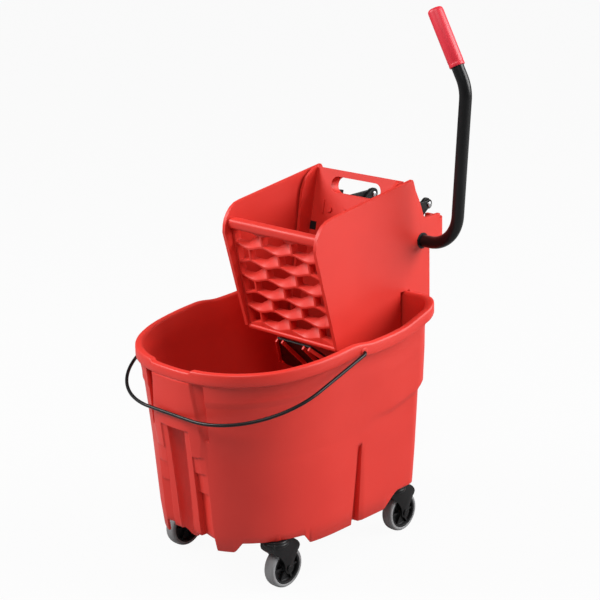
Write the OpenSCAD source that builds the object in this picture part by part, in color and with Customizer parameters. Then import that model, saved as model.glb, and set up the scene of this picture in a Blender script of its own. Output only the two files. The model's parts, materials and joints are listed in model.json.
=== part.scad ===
// Mop bucket on four swivel casters with a side press wringer hooked over its rear rim.
// X runs along the length with the wringer end at +X, the lever is on the -Y side, Z is up.

/* [Bucket] */
// Length of the tub from the bail side reference to the rear rim
tub_rear = 250; // [235:1:270]
// Length of the tub from the same reference to the front rim
tub_front = 228; // [215:1:245]
// Width of the tub over the rim
tub_width = 400; // [370:5:430]
// Height of the rear rim above the ground
rim_height = 450; // [430:5:480]
// How much lower the rim is at the front
rim_drop = 34; // [20:1:45]
// Height of the upright face of the rim band
band_h = 20; // [14:1:26]
// Width of the rim from outside to inside
band_w = 14; // [12:1:18]
// Thickness of the tub wall
wall = 5; // [4:0.5:6]
// Thickness of the tub floor
floor_t = 5; // [4:0.5:8]
// Depth of the recesses in the tub wall
recess_d = 9; // [5:1:12]

/* [Casters] */
// Diameter of the wheels
wheel_d = 75; // [65:1:85]
// Width of the wheels
wheel_w = 22; // [18:1:26]
// Thickness of the tyre
tyre_t = 7.5; // [6:0.5:12]
// Distance of the axle behind the swivel stem
trail = 16; // [12:1:22]
// Diameter of the swivel stem
stem_d = 11; // [9:0.5:13]
// Length of the stem above the fork
stem_len = 38; // [28:1:45]
// Diameter of the wheel axle
axle_d = 8; // [6:0.5:10]
// Thickness of the fork legs
fork_t = 3; // [2:0.5:4]

/* [Wringer] */
// Clear width between the side plates
mouth_w = 216; // [196:2:230]
// Thickness of the side plates
wing_t = 7; // [5:1:9]
// Height of the side plates over the lever shaft
wringer_rise = 116; // [100:1:140]
// Backward lean of the press plate in degrees
plate_lean = 13; // [11:0.5:14]
// Forward lean of the front grid in degrees
grid_lean = 11; // [9:0.5:13]
// Thickness of the press plate
plate_t = 6; // [4:0.5:8]
// Height of the press plate above its hinge
plate_len = 358; // [345:1:365]
// Thickness of the front grid
grid_t = 12; // [8:0.5:16]
// Rows of drain openings in the front grid
grid_rows = 6; // [5:1:7]
// Diameter of the hinge rod under the press plate
hinge_d = 10; // [8:0.5:12]
// Thickness of the bottom drain panel
panel_t = 4; // [3:0.5:6]
// Diameter of the hidden frame dowels
dowel_d = 6; // [5:0.5:7]

/* [Lever] */
// Diameter of the lever tube
tube_d = 22.2; // [20:0.2:25]
// Wall of the lever tube
tube_wall = 1.8; // [1.2:0.1:3]
// Height of the lever top above its shaft
lever_rise = 414; // [380:2:440]
// Length of the grip
grip_len = 105; // [90:1:125]
// Wall of the grip sleeve
grip_wall = 2.8; // [2:0.2:4]
// Thickness of the crank arms
crank_t = 6; // [4:0.5:8]
// Thickness of the push links
link_t = 5; // [4:0.5:6]
// Diameter of the link pins
pin_d = 8; // [6:0.5:9]

/* [Bail] */
// Diameter of the bail wire
wire_d = 6; // [5:0.5:8]
// Reach of the bail from its pivots
bail_reach = 277; // [275:1:310]

/* [Fits] */
// Radial clearance of turning fits
run_gap = 0.05; // [0.03:0.01:0.09]
// Gap between faces that pass each other
free_gap = 0.3; // [0.2:0.1:0.6]

/* [Hidden] */
$fn = 64;

red = [0.86, 0.20, 0.16];
crimson = [0.78, 0.12, 0.18];
black = [0.07, 0.07, 0.075];
steel = [0.72, 0.72, 0.73];
grey = [0.52, 0.52, 0.53];

hl = tub_rear;
hw = tub_width / 2;
rim_front = rim_height - rim_drop;
skirt_z = wheel_d + 3;
crown_z = wheel_d + 20;
socket_z = crown_z + free_gap;
under_z = crown_z + 12;
floor_z = under_z + floor_t;
stem_front = -tub_front + 113;
stem_rear = hl - 61;
stem_y = hw - 73;
stem_y_rear = hw - 72;
socket_r = stem_d / 2 + 10;
stem_top = crown_z + stem_len;
socket_top = stem_top + 4;
swivel_r = trail + 32;

// Bail pivots in the rim band
bail_x = 36;
bail_z = rim_front - 9;
bail_y = hw + wire_d / 2 + 4;
bail_hang = 17.5;
bail_bend = 155;
bail_ear = 11;
bail_seat = hw - band_w + 1;

// Wringer reference points, all set out from the rear rim
half = mouth_w / 2;
wing_y = half + wing_t;
shaft_x = hl + 40;
hinge_x = hl - 82;
hinge_z = rim_height - 150;
plate_top = hinge_z + plate_len * cos(plate_lean);
shaft_z = round(plate_top - 114.8);
shaft_up = shaft_z - rim_height;
wing_top = shaft_up + wringer_rise;
crank_x = 69;
crank_z = 48;
crank_len = sqrt(crank_x * crank_x + crank_z * crank_z);
crank_ang = atan2(crank_z, crank_x);
link_len = 91;
pivot_x = shaft_x + crank_x - link_len;
pivot_z = shaft_z + crank_z;
// The plate side pivot seen along and across the leaning plate
pivot_up = (pivot_x - hinge_x) * sin(plate_lean) + (pivot_z - hinge_z) * cos(plate_lean);
pivot_back = (pivot_x - hinge_x) * cos(plate_lean) - (pivot_z - hinge_z) * sin(plate_lean);
crank_y = 62;
link_y = crank_y + crank_t + free_gap;
lug_y = link_y + link_t + free_gap;
lug_t = 5;
bush_wall = 2;
bush_r = tube_d / 2 + run_gap + bush_wall;
hub_r = tube_d / 2 + 7;
eye_r = pin_d / 2 + 7;
link_r = pin_d / 2 + 5;
guard_x = hl + 90;
guard_r = 18;
guard_low = shaft_z - 11;
guard_top = shaft_z + 32;
hook_low = rim_height - 40;
rest_z = rim_height + free_gap;
plate_half = half - 3;

// Lever bends
lever_out = wing_y + 19;
bend_r = 62.5;
lever_tilt = atan2(237, 3116);
elbow_r = 70;
elbow_turn = atan2(336, 527);
upright_len = 208;
bend_z = bend_r * (1 - cos(90 - lever_tilt));
elbow_z = bend_z + upright_len * cos(lever_tilt);
elbow_rise = elbow_r * (sin(elbow_turn - lever_tilt) + sin(lever_tilt));
top_len = (lever_rise - elbow_z - elbow_rise) / cos(elbow_turn - lever_tilt);

// Height of the rim over its length
function rim_z(x) = rim_front + rim_drop * lookup(x / (x > 0 ? hl : tub_front),
    [[-1, -0.22], [-0.6, -0.16], [-0.25, 0], [0.09, 0.2], [0.25, 0.03], [0.45, 0.08], [0.6, 0.2], [0.86, 0.78], [0.93, 1], [1, 1]]);

panel_y = 50;
panel_edge = 2;
lip_drop = 5;
front_steps = 14;
side_steps = 6;
corner_steps = 5;

// Half of an outline with a round front, a raised front panel and a square rear,
// inset from the rim at the front, the sides and the rear
function half_outline(f, s, r, n, p) =
    let (a = tub_front - f, b = hw - s, e = hl - r, c = max(20, 46 - 0.5 * r), t0 = asin(pow(panel_y / b, n / 2)))
    concat(
        [for (q = [0, 0.35, 0.7, 1]) let (y = q * (panel_y - panel_edge)) [-a * pow(1 - pow(y / b, n), 1 / n) - p, y]],
        [for (i = [0:front_steps]) let (t = t0 + (90 - t0) * i / front_steps) [-a * pow(max(0, cos(t)), 2 / n), b * pow(sin(t), 2 / n)]],
        [for (i = [1:side_steps]) [(e - c) * i / side_steps, b]],
        [for (i = [1:corner_steps]) let (t = 90 * i / corner_steps) [e - c + c * sin(t), b - c + c * cos(t)]],
        [[e, (b - c) / 2], [e, 0]]);

function outline(f, s, r, n, p) =
    let (h = half_outline(f, s, r, n, p), m = len(h))
    concat(h, [for (i = [m - 2:-1:1]) [h[i][0], -h[i][1]]]);

// The pouring lip lies a little lower over the front panel
function lip(p) = p[0] < 0 && abs(p[1]) < panel_y - panel_edge / 2 ? 1 : 0;

// One ring of the tub: insets at front, side and rear, squareness, height, share of the rim line, panel, lip drop
function ring(f, s, r, n, z, k, p, d) = [for (q = outline(f, s, r, n, p))
    [q[0], q[1], z + k * (rim_z(q[0]) - rim_front) - d * lip(q)]];

// Outside and inside of the tub from the underside over the rim to the floor
tub_rings = [
    ring(22 + wall, 33 + wall, 30 + wall, 2.2, under_z, 0, 0, 0),
    ring(26 + wall, 35 + wall, 31 + wall, 2.2, skirt_z, 0, 0, 0),
    ring(26, 35, 31, 2.2, skirt_z, 0, 0, 0),
    ring(20, 31.5, 30, 2.2, floor_z + 12, 0, 0, 0),
    ring(17, 28.8, 27.5, 2.2, floor_z + 58, 0, 0, 0),
    ring(11.5, 24.8, 24.5, 2.2, rim_front - 166, 0, 1.5, 0),
    ring(9, 23, 23.5, 2.2, rim_front - 132, 0, 2.5, 0),
    ring(8, 18, 14.5, 2.2, rim_front - 121, 0, 3, 0),
    ring(6, 15.3, 12, 2.25, rim_front - 66, 0.6, 3.5, 0),
    ring(5.5, 14.8, 11.5, 2.25, rim_front - band_h - 24, 1, 4, 0),
    ring(4.5, 10, 9, 2.3, rim_front - band_h - 4, 1, 4.5, 0),
    ring(0, 0, 0, 2.35, rim_front - band_h, 1, 0, 0),
    ring(0, 0, 0, 2.35, rim_front - 3, 1, 0, lip_drop),
    ring(2.5, 2.5, 2.5, 2.35, rim_front, 1, 0, lip_drop),
    ring(band_w - 3, band_w - 3, band_w - 3, 2.35, rim_front, 1, 0, lip_drop),
    ring(band_w, band_w, band_w, 2.35, rim_front - 4, 1, 0, lip_drop),
    ring(band_w + 2, 14.8 + wall, 11.5 + wall, 2.25, rim_front - band_h - 27, 1, 0, 0),
    ring(band_w + 3, 15.3 + wall, 12 + wall, 2.25, rim_front - 66, 0.6, 0, 0),
    ring(band_w + 4, 18 + wall, 14.5 + wall, 2.2, rim_front - 121, 0, 0, 0),
    ring(band_w + 5, 23 + wall, 23.5 + wall, 2.2, rim_front - 134, 0, 0, 0),
    ring(band_w + 6, 24.8 + wall, 24.5 + wall, 2.2, rim_front - 166, 0, 0, 0),
    ring(20 + wall, 28.8 + wall, 27.5 + wall, 2.2, floor_z + 58, 0, 0, 0),
    ring(24 + wall, 31.5 + wall, 30 + wall, 2.2, floor_z + 12, 0, 0, 0),
    ring(31 + wall, 40 + wall, 38 + wall, 2.2, floor_z, 0, 0, 0)];
ring_n = len(tub_rings[0]);

module tub_shell() {
    last = len(tub_rings) - 1;
    polyhedron(points = [for (q = tub_rings) for (p = q) p],
        faces = concat(
            [[for (i = [ring_n - 1:-1:0]) i]],
            [for (k = [0:last - 1]) for (i = [0:ring_n - 1]) let (j = (i + 1) % ring_n)
                [k * ring_n + i, k * ring_n + j, (k + 1) * ring_n + j, (k + 1) * ring_n + i]],
            [[for (i = [0:ring_n - 1]) last * ring_n + i]]),
        convexity = 8);
}

// Places a piece at each caster
module at_casters() {
    for (s = [-1, 1]) {
        translate([stem_front, s * stem_y, 0])
            children();
        translate([stem_rear, s * stem_y_rear, 0])
            children();
    }
}

// Leaning box on the front wall, measured from the wall top down
front_lean = 3.7;
front_top = rim_front - 119;
module front_box(y0, y1, x0, x1, high, low) {
    translate([-tub_front + 6, 0, front_top])
        rotate([0, -front_lean, 0])
            translate([x0, y0, low])
                cube([x1 - x0, y1 - y0, high - low]);
}

// Upright notch in the side wall, narrow and shallow at its head, measured from its head down
notch_x = 34;
notch_w = 20;
notch_head = 7;
notch_top = rim_front - 188;
notch_d = recess_d + 5;
side_lean = 3.2;
module side_notch(grow, y0, low) {
    translate([notch_x, -hw + 26, notch_top])
        rotate([-side_lean, 0, 0])
            hull() {
                translate([notch_w - notch_head - grow, y0, grow - 4])
                    cube([notch_head + 2 * grow, grow + 3 - y0, 4]);
                translate([-grow, y0, low])
                    cube([notch_w + 2 * grow, grow + notch_d - y0, 1]);
            }
}

// Half width of the front recess, half widths and depth of the flute in it, depth of the grooves beside the panel
recess_y = 34;
flute_high_y = 21;
flute_low_y = 16.5;
flute_d = recess_d + 9;
shelf_d = 3.5;
groove_d = 6.5;

// Slots between the flute and the feet, wider and deeper at each step down: top, inner edge, depth
slot_steps = [[-46, 31, 7], [-77, 27.5, 10], [-114, 21.5, 14]];

module front_flute(low) {
    hull() {
        front_box(-flute_high_y, flute_high_y, -30, flute_d, 0, -1);
        front_box(-flute_low_y, flute_low_y, -30, flute_d, low + 1, low);
    }
}

// Half the gap between the two front feet of the skirt
foot_y = 62;

module bucket_tub() {
    color(red)
    difference() {
        union() {
            tub_shell();
            at_casters()
                translate([0, 0, socket_z])
                    cylinder(r = socket_r, h = socket_top - socket_z);
            for (s = [-1, 1])
                translate([bail_x, s * (hw + 3), bail_z])
                    rotate([s * 90, 0, 0])
                        cylinder(r = bail_ear, h = band_w + 3);
            front_box(-recess_y - wall, recess_y + wall, 5, flute_d + wall, wall, under_z - front_top + 2);
            for (m = [0, 1])
                mirror([0, m, 0])
                    side_notch(wall, 2, under_z - notch_top + 2);
        }
        translate([-tub_front - 1, -foot_y, skirt_z - 1])
            cube([90, 2 * foot_y, 23]);
        at_casters()
            translate([0, 0, socket_z - 1])
                cylinder(r = stem_d / 2 + run_gap, h = stem_top - socket_z + 2);
        for (s = [-1, 1]) {
            translate([stem_front, s * stem_y, skirt_z - 1])
                cylinder(r1 = swivel_r + 16, r2 = swivel_r + 2, h = socket_z - skirt_z + 1);
            translate([stem_rear, s * stem_y_rear, skirt_z - 1])
                difference() {
                    cylinder(r1 = swivel_r + 30, r2 = swivel_r + 2, h = under_z - skirt_z - 2);
                    cylinder(r = socket_r, h = under_z);
                }
            translate([bail_x, s * (hw + 10), bail_z])
                rotate([s * 90, 0, 0])
                    cylinder(r = wire_d / 2 + run_gap, h = hw + 10 - bail_seat);
        }
        front_box(-recess_y, recess_y, -30, shelf_d, 0, skirt_z - front_top - 20);
        front_flute(skirt_z - front_top - 20);
        for (m = [0, 1])
            mirror([0, m, 0])
                for (q = slot_steps)
                    front_box(q[1], recess_y, -30, q[2], q[0], skirt_z - front_top - 20);
        for (s = [-1, 1])
            front_box(s * (panel_y + 9) - 9, s * (panel_y + 9) + 9, -30, groove_d, 92, -8);
        for (m = [0, 1])
            mirror([0, m, 0])
                side_notch(0, -40, skirt_z - notch_top - 20);
    }
}

module bail_half() {
    translate([0, bail_y, 0])
        rotate([0, -90, 0])
            cylinder(d = wire_d, h = bail_reach - bail_bend);
    translate([-(bail_reach - bail_bend), bail_y - bail_bend, 0])
        rotate([0, 0, 90])
            rotate_extrude(angle = 90)
                translate([bail_bend, 0])
                    circle(d = wire_d);
    translate([-bail_reach, 0, 0])
        rotate([-90, 0, 0])
            cylinder(d = wire_d, h = bail_y - bail_bend);
    translate([0, bail_seat + free_gap, 0])
        rotate([-90, 0, 0])
            cylinder(d = wire_d, h = bail_y - bail_seat - free_gap);
    translate([0, bail_y, 0])
        sphere(d = wire_d);
}

module bail_wire() {
    color(black)
    translate([bail_x, 0, bail_z])
        rotate([0, -bail_hang, 0]) {
            bail_half();
            mirror([0, 1, 0])
                bail_half();
        }
}

// Fork leg seen from the side, stem at zero
module leg_shape() {
    eye = axle_d / 2 + 5;
    translate([trail, wheel_d / 2])
        circle(r = eye);
    polygon([[-16, crown_z], [18, crown_z], [trail + eye - 0.6, wheel_d / 2 + 3],
        [trail - eye + 0.6, wheel_d / 2 - 3], [-16, crown_z - 9]]);
}

leg_y = wheel_w / 2 + 2;

module caster_fork() {
    difference() {
        union() {
            translate([0, 0, crown_z - 7])
                cylinder(r = 22, h = 7);
            translate([-16, -leg_y - fork_t, crown_z - 7])
                cube([34, 2 * (leg_y + fork_t), 7]);
            for (s = [-1, 1])
                translate([0, s * (leg_y + fork_t / 2) + fork_t / 2, 0])
                    rotate([90, 0, 0])
                        linear_extrude(fork_t)
                            leg_shape();
        }
        translate([0, 0, crown_z - 8])
            cylinder(d = stem_d, h = 9);
        translate([trail, leg_y + fork_t + 1, wheel_d / 2])
            rotate([90, 0, 0])
                cylinder(d = axle_d, h = 2 * (leg_y + fork_t) + 2);
    }
}

module caster_stem() {
    translate([0, 0, crown_z - 7])
        cylinder(d = stem_d, h = stem_len + 7);
    translate([0, 0, crown_z - 10])
        cylinder(r = stem_d / 2 + 3, h = 3);
}

module wheel_axle() {
    y = leg_y + fork_t;
    translate([trail, y, wheel_d / 2])
        rotate([90, 0, 0])
            cylinder(d = axle_d, h = 2 * y);
    for (s = [0, 1])
        mirror([0, s, 0])
            translate([trail, y + 3, wheel_d / 2])
                rotate([90, 0, 0])
                    cylinder(r = axle_d / 2 + 2, h = 3);
}

module wheel_hub() {
    rim_r = wheel_d / 2 - tyre_t;
    translate([trail, 0, wheel_d / 2])
        rotate([90, 0, 0])
            rotate_extrude()
                polygon([[axle_d / 2 + run_gap, -wheel_w / 2 - 1.5], [axle_d / 2 + 5, -wheel_w / 2 - 1.5],
                    [axle_d / 2 + 6, -wheel_w / 2 + 4], [rim_r - 4, -wheel_w / 2 + 4],
                    [rim_r - 3, -wheel_w / 2 + 0.5], [rim_r, -wheel_w / 2 + 0.5],
                    [rim_r, wheel_w / 2 - 0.5], [rim_r - 3, wheel_w / 2 - 0.5],
                    [rim_r - 4, wheel_w / 2 - 4], [axle_d / 2 + 6, wheel_w / 2 - 4],
                    [axle_d / 2 + 5, wheel_w / 2 + 1.5], [axle_d / 2 + run_gap, wheel_w / 2 + 1.5]]);
}

module wheel_tyre() {
    out = wheel_d / 2;
    rim_r = out - tyre_t;
    side = wheel_w / 2;
    translate([trail, 0, out])
        rotate([90, 0, 0])
            rotate_extrude()
                polygon([[rim_r, -side + 0.5], [out - 6, -side], [out - 2, -side + 1.5], [out - 0.4, -side + 4],
                    [out, -side + 7], [out, side - 7], [out - 0.4, side - 4], [out - 2, side - 1.5],
                    [out - 6, side], [rim_r, side - 0.5]]);
}

// The four casters stand at the corners and trail towards the wringer
module corner(fx, sy) {
    translate(fx > 0 ? [stem_rear, sy * stem_y_rear, 0] : [stem_front, sy * stem_y, 0])
        children();
}

module caster_fork_fr() { color(black) corner(-1, -1) caster_fork(); }
module caster_stem_fr() { color(steel) corner(-1, -1) caster_stem(); }
module wheel_axle_fr() { color(steel) corner(-1, -1) wheel_axle(); }
module wheel_hub_fr() { color(black) corner(-1, -1) wheel_hub(); }
module wheel_tyre_fr() { color(grey) corner(-1, -1) wheel_tyre(); }
module caster_fork_fl() { color(black) corner(-1, 1) caster_fork(); }
module caster_stem_fl() { color(steel) corner(-1, 1) caster_stem(); }
module wheel_axle_fl() { color(steel) corner(-1, 1) wheel_axle(); }
module wheel_hub_fl() { color(black) corner(-1, 1) wheel_hub(); }
module wheel_tyre_fl() { color(grey) corner(-1, 1) wheel_tyre(); }
module caster_fork_rr() { color(black) corner(1, -1) caster_fork(); }
module caster_stem_rr() { color(steel) corner(1, -1) caster_stem(); }
module wheel_axle_rr() { color(steel) corner(1, -1) wheel_axle(); }
module wheel_hub_rr() { color(black) corner(1, -1) wheel_hub(); }
module wheel_tyre_rr() { color(grey) corner(1, -1) wheel_tyre(); }
module caster_fork_rl() { color(black) corner(1, 1) caster_fork(); }
module caster_stem_rl() { color(steel) corner(1, 1) caster_stem(); }
module wheel_axle_rl() { color(steel) corner(1, 1) wheel_axle(); }
module wheel_hub_rl() { color(black) corner(1, 1) wheel_hub(); }
module wheel_tyre_rl() { color(grey) corner(1, 1) wheel_tyre(); }

// Side plate outline in X and Z, set out from the rear rim
module wing_shape() {
    translate([hl, rim_height])
        polygon([[-189, -66], [-110, -99], [-100, -162], [-94, -166], [-65, -166], [-21, -120], [-21, free_gap],
            [4, free_gap], [4, hook_low - rim_height], [60, hook_low - rim_height],
            [60, shaft_up - 18], [guard_x - hl, guard_low - rim_height], [guard_x - hl, shaft_up + 41],
            [46, shaft_up + 41], [42, shaft_up + 51], [33, shaft_up + 74],
            [22, wing_top - 20], [17, wing_top - 4], [14.5, wing_top],
            [-194, wing_top - 29.5], [-207, wing_top - 32.5], [-218, wing_top - 39], [-226, wing_top - 47.5],
            [-232, wing_top - 57], [-235.5, wing_top - 68], [-237, wing_top - 82]]);
}

// Grid corner points where its flanges meet the side plates
grid_x = hl - 184;
grid_z = rim_height - 66;
grid_len = round((wing_top + 9) / cos(grid_lean));
flange_d = 18;
function on_grid(x, z) = [grid_x + x * cos(grid_lean) - z * sin(grid_lean),
    grid_z + x * sin(grid_lean) + z * cos(grid_lean)];
dowel_places = [on_grid(3, grid_len - 5), on_grid(5, -1.5), [hl + 20, rest_z + 3.5], [guard_x - 20, guard_low + 4.5]];
dowel_in = 10;
dowel_out = wing_t - 2;

// Dowels across the joints between the left side plate and its neighbours
module dowels() {
    for (p = dowel_places)
        translate([p[0], half + dowel_out, p[1]])
            rotate([90, 0, 0])
                cylinder(d = dowel_d, h = dowel_out + dowel_in);
}

module side_plate() {
    difference() {
        translate([0, wing_y, 0])
            rotate([90, 0, 0])
                linear_extrude(wing_t)
                    wing_shape();
        translate([shaft_x, wing_y + 1, shaft_z])
            rotate([90, 0, 0])
                cylinder(r = bush_r, h = wing_t + 2);
        translate([hinge_x, wing_y + 1, hinge_z])
            rotate([90, 0, 0])
                cylinder(d = hinge_d, h = wing_t + 2);
        dowels();
    }
}

module wringer_left_side() { color(red) side_plate(); }
module wringer_right_side() { color(red) mirror([0, 1, 0]) side_plate(); }

// Front grid in its own leaning frame
grid_foot = 7;
grid_head = 19.4;
row_pitch = (grid_len - grid_foot - grid_head) / grid_rows;
web_w = 5;
rib_w = 5;
rib_wave = 4;
cell_pitch = (mouth_w + 3) / 3;

// Height of a waved rib across the grid, each rib half a cell on from the one below
function rib_z(y, r) = grid_foot + r * row_pitch + rib_wave * cos(360 * y / cell_pitch + 180 * r);

// One opening between two ribs, from one web to the next
module cell(y0, y1, r) {
    n = 10;
    translate([-1, 0, 0])
        rotate([90, 0, 90])
            linear_extrude(grid_t + 2)
                polygon(concat(
                    [for (i = [0:n]) let (y = y0 + (y1 - y0) * i / n) [y, rib_z(y, r) + rib_w / 2]],
                    [for (i = [n:-1:0]) let (y = y0 + (y1 - y0) * i / n) [y, rib_z(y, r + 1) - rib_w / 2]]));
}

module wringer_front_grid() {
    color(red)
    difference() {
        translate([grid_x, 0, grid_z])
            rotate([0, -grid_lean, 0])
                difference() {
                    union() {
                        translate([0, -half, 0])
                            cube([grid_t, mouth_w, grid_len]);
                        translate([-6, -half, grid_len - 12])
                            cube([flange_d, mouth_w, 12]);
                        translate([-3, -half, -6])
                            cube([flange_d, mouth_w, 9]);
                    }
                    for (r = [0:grid_rows - 1])
                        for (c = [-2 + r % 2:1]) {
                            y0 = (c - (r % 2) / 2) * cell_pitch;
                            cell(max(y0 + web_w / 2, web_w - half), min(y0 + cell_pitch - web_w / 2, half - web_w), r);
                        }
                }
        dowels();
        mirror([0, 1, 0])
            dowels();
    }
}

module guard_corner() {
    difference() {
        circle(r = guard_r);
        circle(r = guard_r - wing_t);
        translate([-2 * guard_r, -2 * guard_r])
            square([2 * guard_r, 4 * guard_r]);
        translate([-2 * guard_r, -2 * guard_r])
            square([4 * guard_r, 2 * guard_r]);
    }
}

saddle_in = 21;
hook_in = 53;
crank_notch = 9;

module wringer_rear_saddle() {
    back_y = wing_y - guard_r;
    color(red)
    difference() {
        union() {
            translate([hl - saddle_in, -half, rest_z])
                cube([saddle_in + hook_in + 6, mouth_w, 7]);
            translate([hl + hook_in, -half, hook_low])
                cube([7, mouth_w, guard_low + 5 - hook_low]);
            translate([hl + hook_in, -half, guard_low])
                cube([guard_x - hl - hook_in, mouth_w, 5]);
            translate([guard_x, -back_y, guard_low])
                cube([guard_r, 2 * back_y, 5]);
            translate([guard_x, 0, guard_low])
                for (m = [0, 1])
                    mirror([0, m, 0])
                        translate([0, back_y, 0]) {
                            intersection() {
                                cylinder(r = guard_r, h = 5);
                                cube([guard_r, guard_r, 5]);
                            }
                            linear_extrude(guard_top - guard_low)
                                guard_corner();
                        }
            translate([guard_x + guard_r - wing_t, -back_y, guard_low])
                cube([wing_t, 2 * back_y, guard_top - guard_low]);
            for (s = [-1, 1])
                translate([guard_x - 28, s * (half - 7) - 7, guard_low])
                    cube([16, 14, 9]);
        }
        for (s = [-1, 1]) {
            translate([shaft_x, s * (crank_y + crank_t / 2) + crank_t / 2 + 2, shaft_z])
                rotate([90, 0, 0])
                    cylinder(r = hub_r + 2, h = crank_t + 4);
            translate([guard_x, s * (crank_y + crank_t / 2) - crank_t / 2 - 2, guard_top - crank_notch])
                cube([guard_r + 1, crank_t + 4, crank_notch + 1]);
        }
        dowels();
        mirror([0, 1, 0])
            dowels();
    }
}

// Drain panel falling from the grid to the hinge
drain_x = hl - 178;
drain_z = rim_height - 76;
drain_turn = 45;
drain_len = 128;
drain_top = 42;
drain_wide = 104;

module on_drain() {
    translate([drain_x, 0, drain_z])
        rotate([0, drain_turn, 0])
            children();
}

// The panel widens downwards until it meets the side plates
module drain_panel() {
    color(black)
    on_drain()
        translate([0, 0, -panel_t])
            linear_extrude(panel_t)
                polygon([[0, -drain_top], [drain_wide, -half], [drain_len, -half],
                    [drain_len, half], [drain_wide, half], [0, drain_top]]);
}

rib_h = 7;
rib_t = 4;
rib_y = 26;
module drain_ribs() {
    color(red)
    on_drain()
        translate([0, 0, -panel_t - rib_h])
            linear_extrude(rib_h)
                for (s = [-1, 1]) {
                    polygon([[0, s * drain_top], [drain_wide, s * half], [drain_wide, s * (half - rib_t)], [0, s * (drain_top - rib_t)]]);
                    translate([0, s * rib_y - rib_t / 2])
                        square([drain_wide, rib_t]);
                }
}

module hinge_rod() {
    color(steel)
    translate([hinge_x, wing_y + 3, hinge_z])
        rotate([90, 0, 0])
            cylinder(d = hinge_d, h = 2 * wing_y + 6);
}

module rod_clips() {
    color(steel)
    for (s = [-1, 1])
        translate([hinge_x, s * (wing_y + 1) + 1, hinge_z])
            rotate([90, 0, 0])
                difference() {
                    cylinder(r = hinge_d / 2 + 4, h = 2);
                    translate([0, 0, -1])
                        cylinder(d = hinge_d, h = 4);
                }
}

bush_lip = 1.5;
module shaft_bushes() {
    color(black)
    for (m = [0, 1])
        mirror([0, m, 0])
            translate([shaft_x, half, shaft_z])
                rotate([-90, 0, 0])
                    difference() {
                        union() {
                            cylinder(r = bush_r, h = wing_t);
                            translate([0, 0, wing_t])
                                cylinder(r = bush_r + 1.5, h = bush_lip);
                        }
                        translate([0, 0, -1])
                            cylinder(r = tube_d / 2 + run_gap, h = wing_t + bush_lip + 2);
                    }
}

module frame_dowels() {
    color(steel)
    for (m = [0, 1])
        mirror([0, m, 0])
            dowels();
}

// Everything on the press plate stands in the leaning frame of its hinge
module on_plate() {
    translate([hinge_x, 0, hinge_z])
        rotate([0, plate_lean, 0])
            children();
}

knuckle_r = hinge_d / 2 + 5;
slot_w = 120;
slot_h = 30;
slot_up = plate_len - 27;
collar = 5;
collar_d = 14;
bolt_d = 6;
boss_h = 3;
bolt_up = pivot_up - 13;
bolt_ys = [-55, -20, 20, 55];
base_t = 3;
base_x = plate_t / 2;
pin_room = [1.5, 6.2];
lug_slot_w = pin_d + 5.5;
lug_slot_h = pin_d + 15;
lug_end = pivot_back + pin_room[0] + lug_slot_w / 2 + 6;
lug_top = pivot_up + pin_room[1] + lug_slot_h / 2 + 5;

// Upright outline with round ends across the plate
module slot_shape(w, h) {
    square([w - h, h], center = true);
    for (s = [-1, 1])
        translate([s * (w - h) / 2, 0])
            circle(d = h);
}

module across_plate(x, t) {
    translate([x, 0, slot_up])
        rotate([90, 0, 90])
            linear_extrude(t)
                children();
}

module press_plate() {
    color(red)
    on_plate()
        difference() {
            union() {
                translate([0, plate_half, 0])
                    rotate([90, 0, 0])
                        cylinder(r = knuckle_r, h = 2 * plate_half);
                translate([-plate_t / 2, -plate_half, 0])
                    cube([plate_t, 2 * plate_half, plate_len]);
                for (s = [0, 1])
                    mirror([0, s, 0])
                        translate([0, plate_half, 0])
                            rotate([90, 0, 0])
                                linear_extrude(plate_t)
                                    polygon([[0, 4], [-14, 12], [-20, 60], [-31, plate_len - 122], [-36, plate_len - 47],
                                        [-30, plate_len - 22], [-9, plate_len], [0, plate_len]]);
                across_plate(-plate_t / 2, collar_d + plate_t)
                    slot_shape(slot_w + 2 * collar, slot_h + 2 * collar);
                for (y = bolt_ys)
                    translate([-plate_t / 2 - boss_h, y, bolt_up])
                        rotate([0, 90, 0])
                            cylinder(r = bolt_d - 0.5, h = boss_h + 1);
                for (y = [-80, -40, 0, 40, 80])
                    translate([0, y * plate_half / 105 - 2.5, 20])
                        cube([plate_t / 2 + 9, 5, bolt_up - 48]);
            }
            translate([0, plate_half + 1, 0])
                rotate([90, 0, 0])
                    cylinder(r = hinge_d / 2 + run_gap, h = 2 * plate_half + 2);
            across_plate(-plate_t, collar_d + 3 * plate_t)
                slot_shape(slot_w, slot_h);
            for (y = bolt_ys)
                translate([-plate_t / 2, y, bolt_up])
                    rotate([0, 90, 0])
                        cylinder(d = bolt_d, h = plate_t + 1);
        }
}

module plate_bracket() {
    color(black)
    on_plate()
        difference() {
            union() {
                translate([base_x, -lug_y - lug_t, bolt_up - 16])
                    cube([base_t, 2 * (lug_y + lug_t), 28]);
                for (s = [0, 1])
                    mirror([0, s, 0])
                        translate([0, lug_y + lug_t, 0])
                            rotate([90, 0, 0])
                                linear_extrude(lug_t)
                                    polygon([[base_x, bolt_up - 16], [lug_end, pivot_up - 14], [lug_end, lug_top],
                                        [lug_end - lug_slot_w - 12, lug_top], [base_x, bolt_up + 4]]);
            }
            for (y = bolt_ys)
                translate([0, y, bolt_up])
                    rotate([0, 90, 0])
                        cylinder(d = bolt_d, h = 20);
            translate([pivot_back + pin_room[0], lug_y + lug_t + 1, pivot_up + pin_room[1]])
                rotate([90, 0, 0])
                    linear_extrude(2 * (lug_y + lug_t) + 2)
                        rotate(90)
                            slot_shape(lug_slot_h, lug_slot_w);
        }
}

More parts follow.
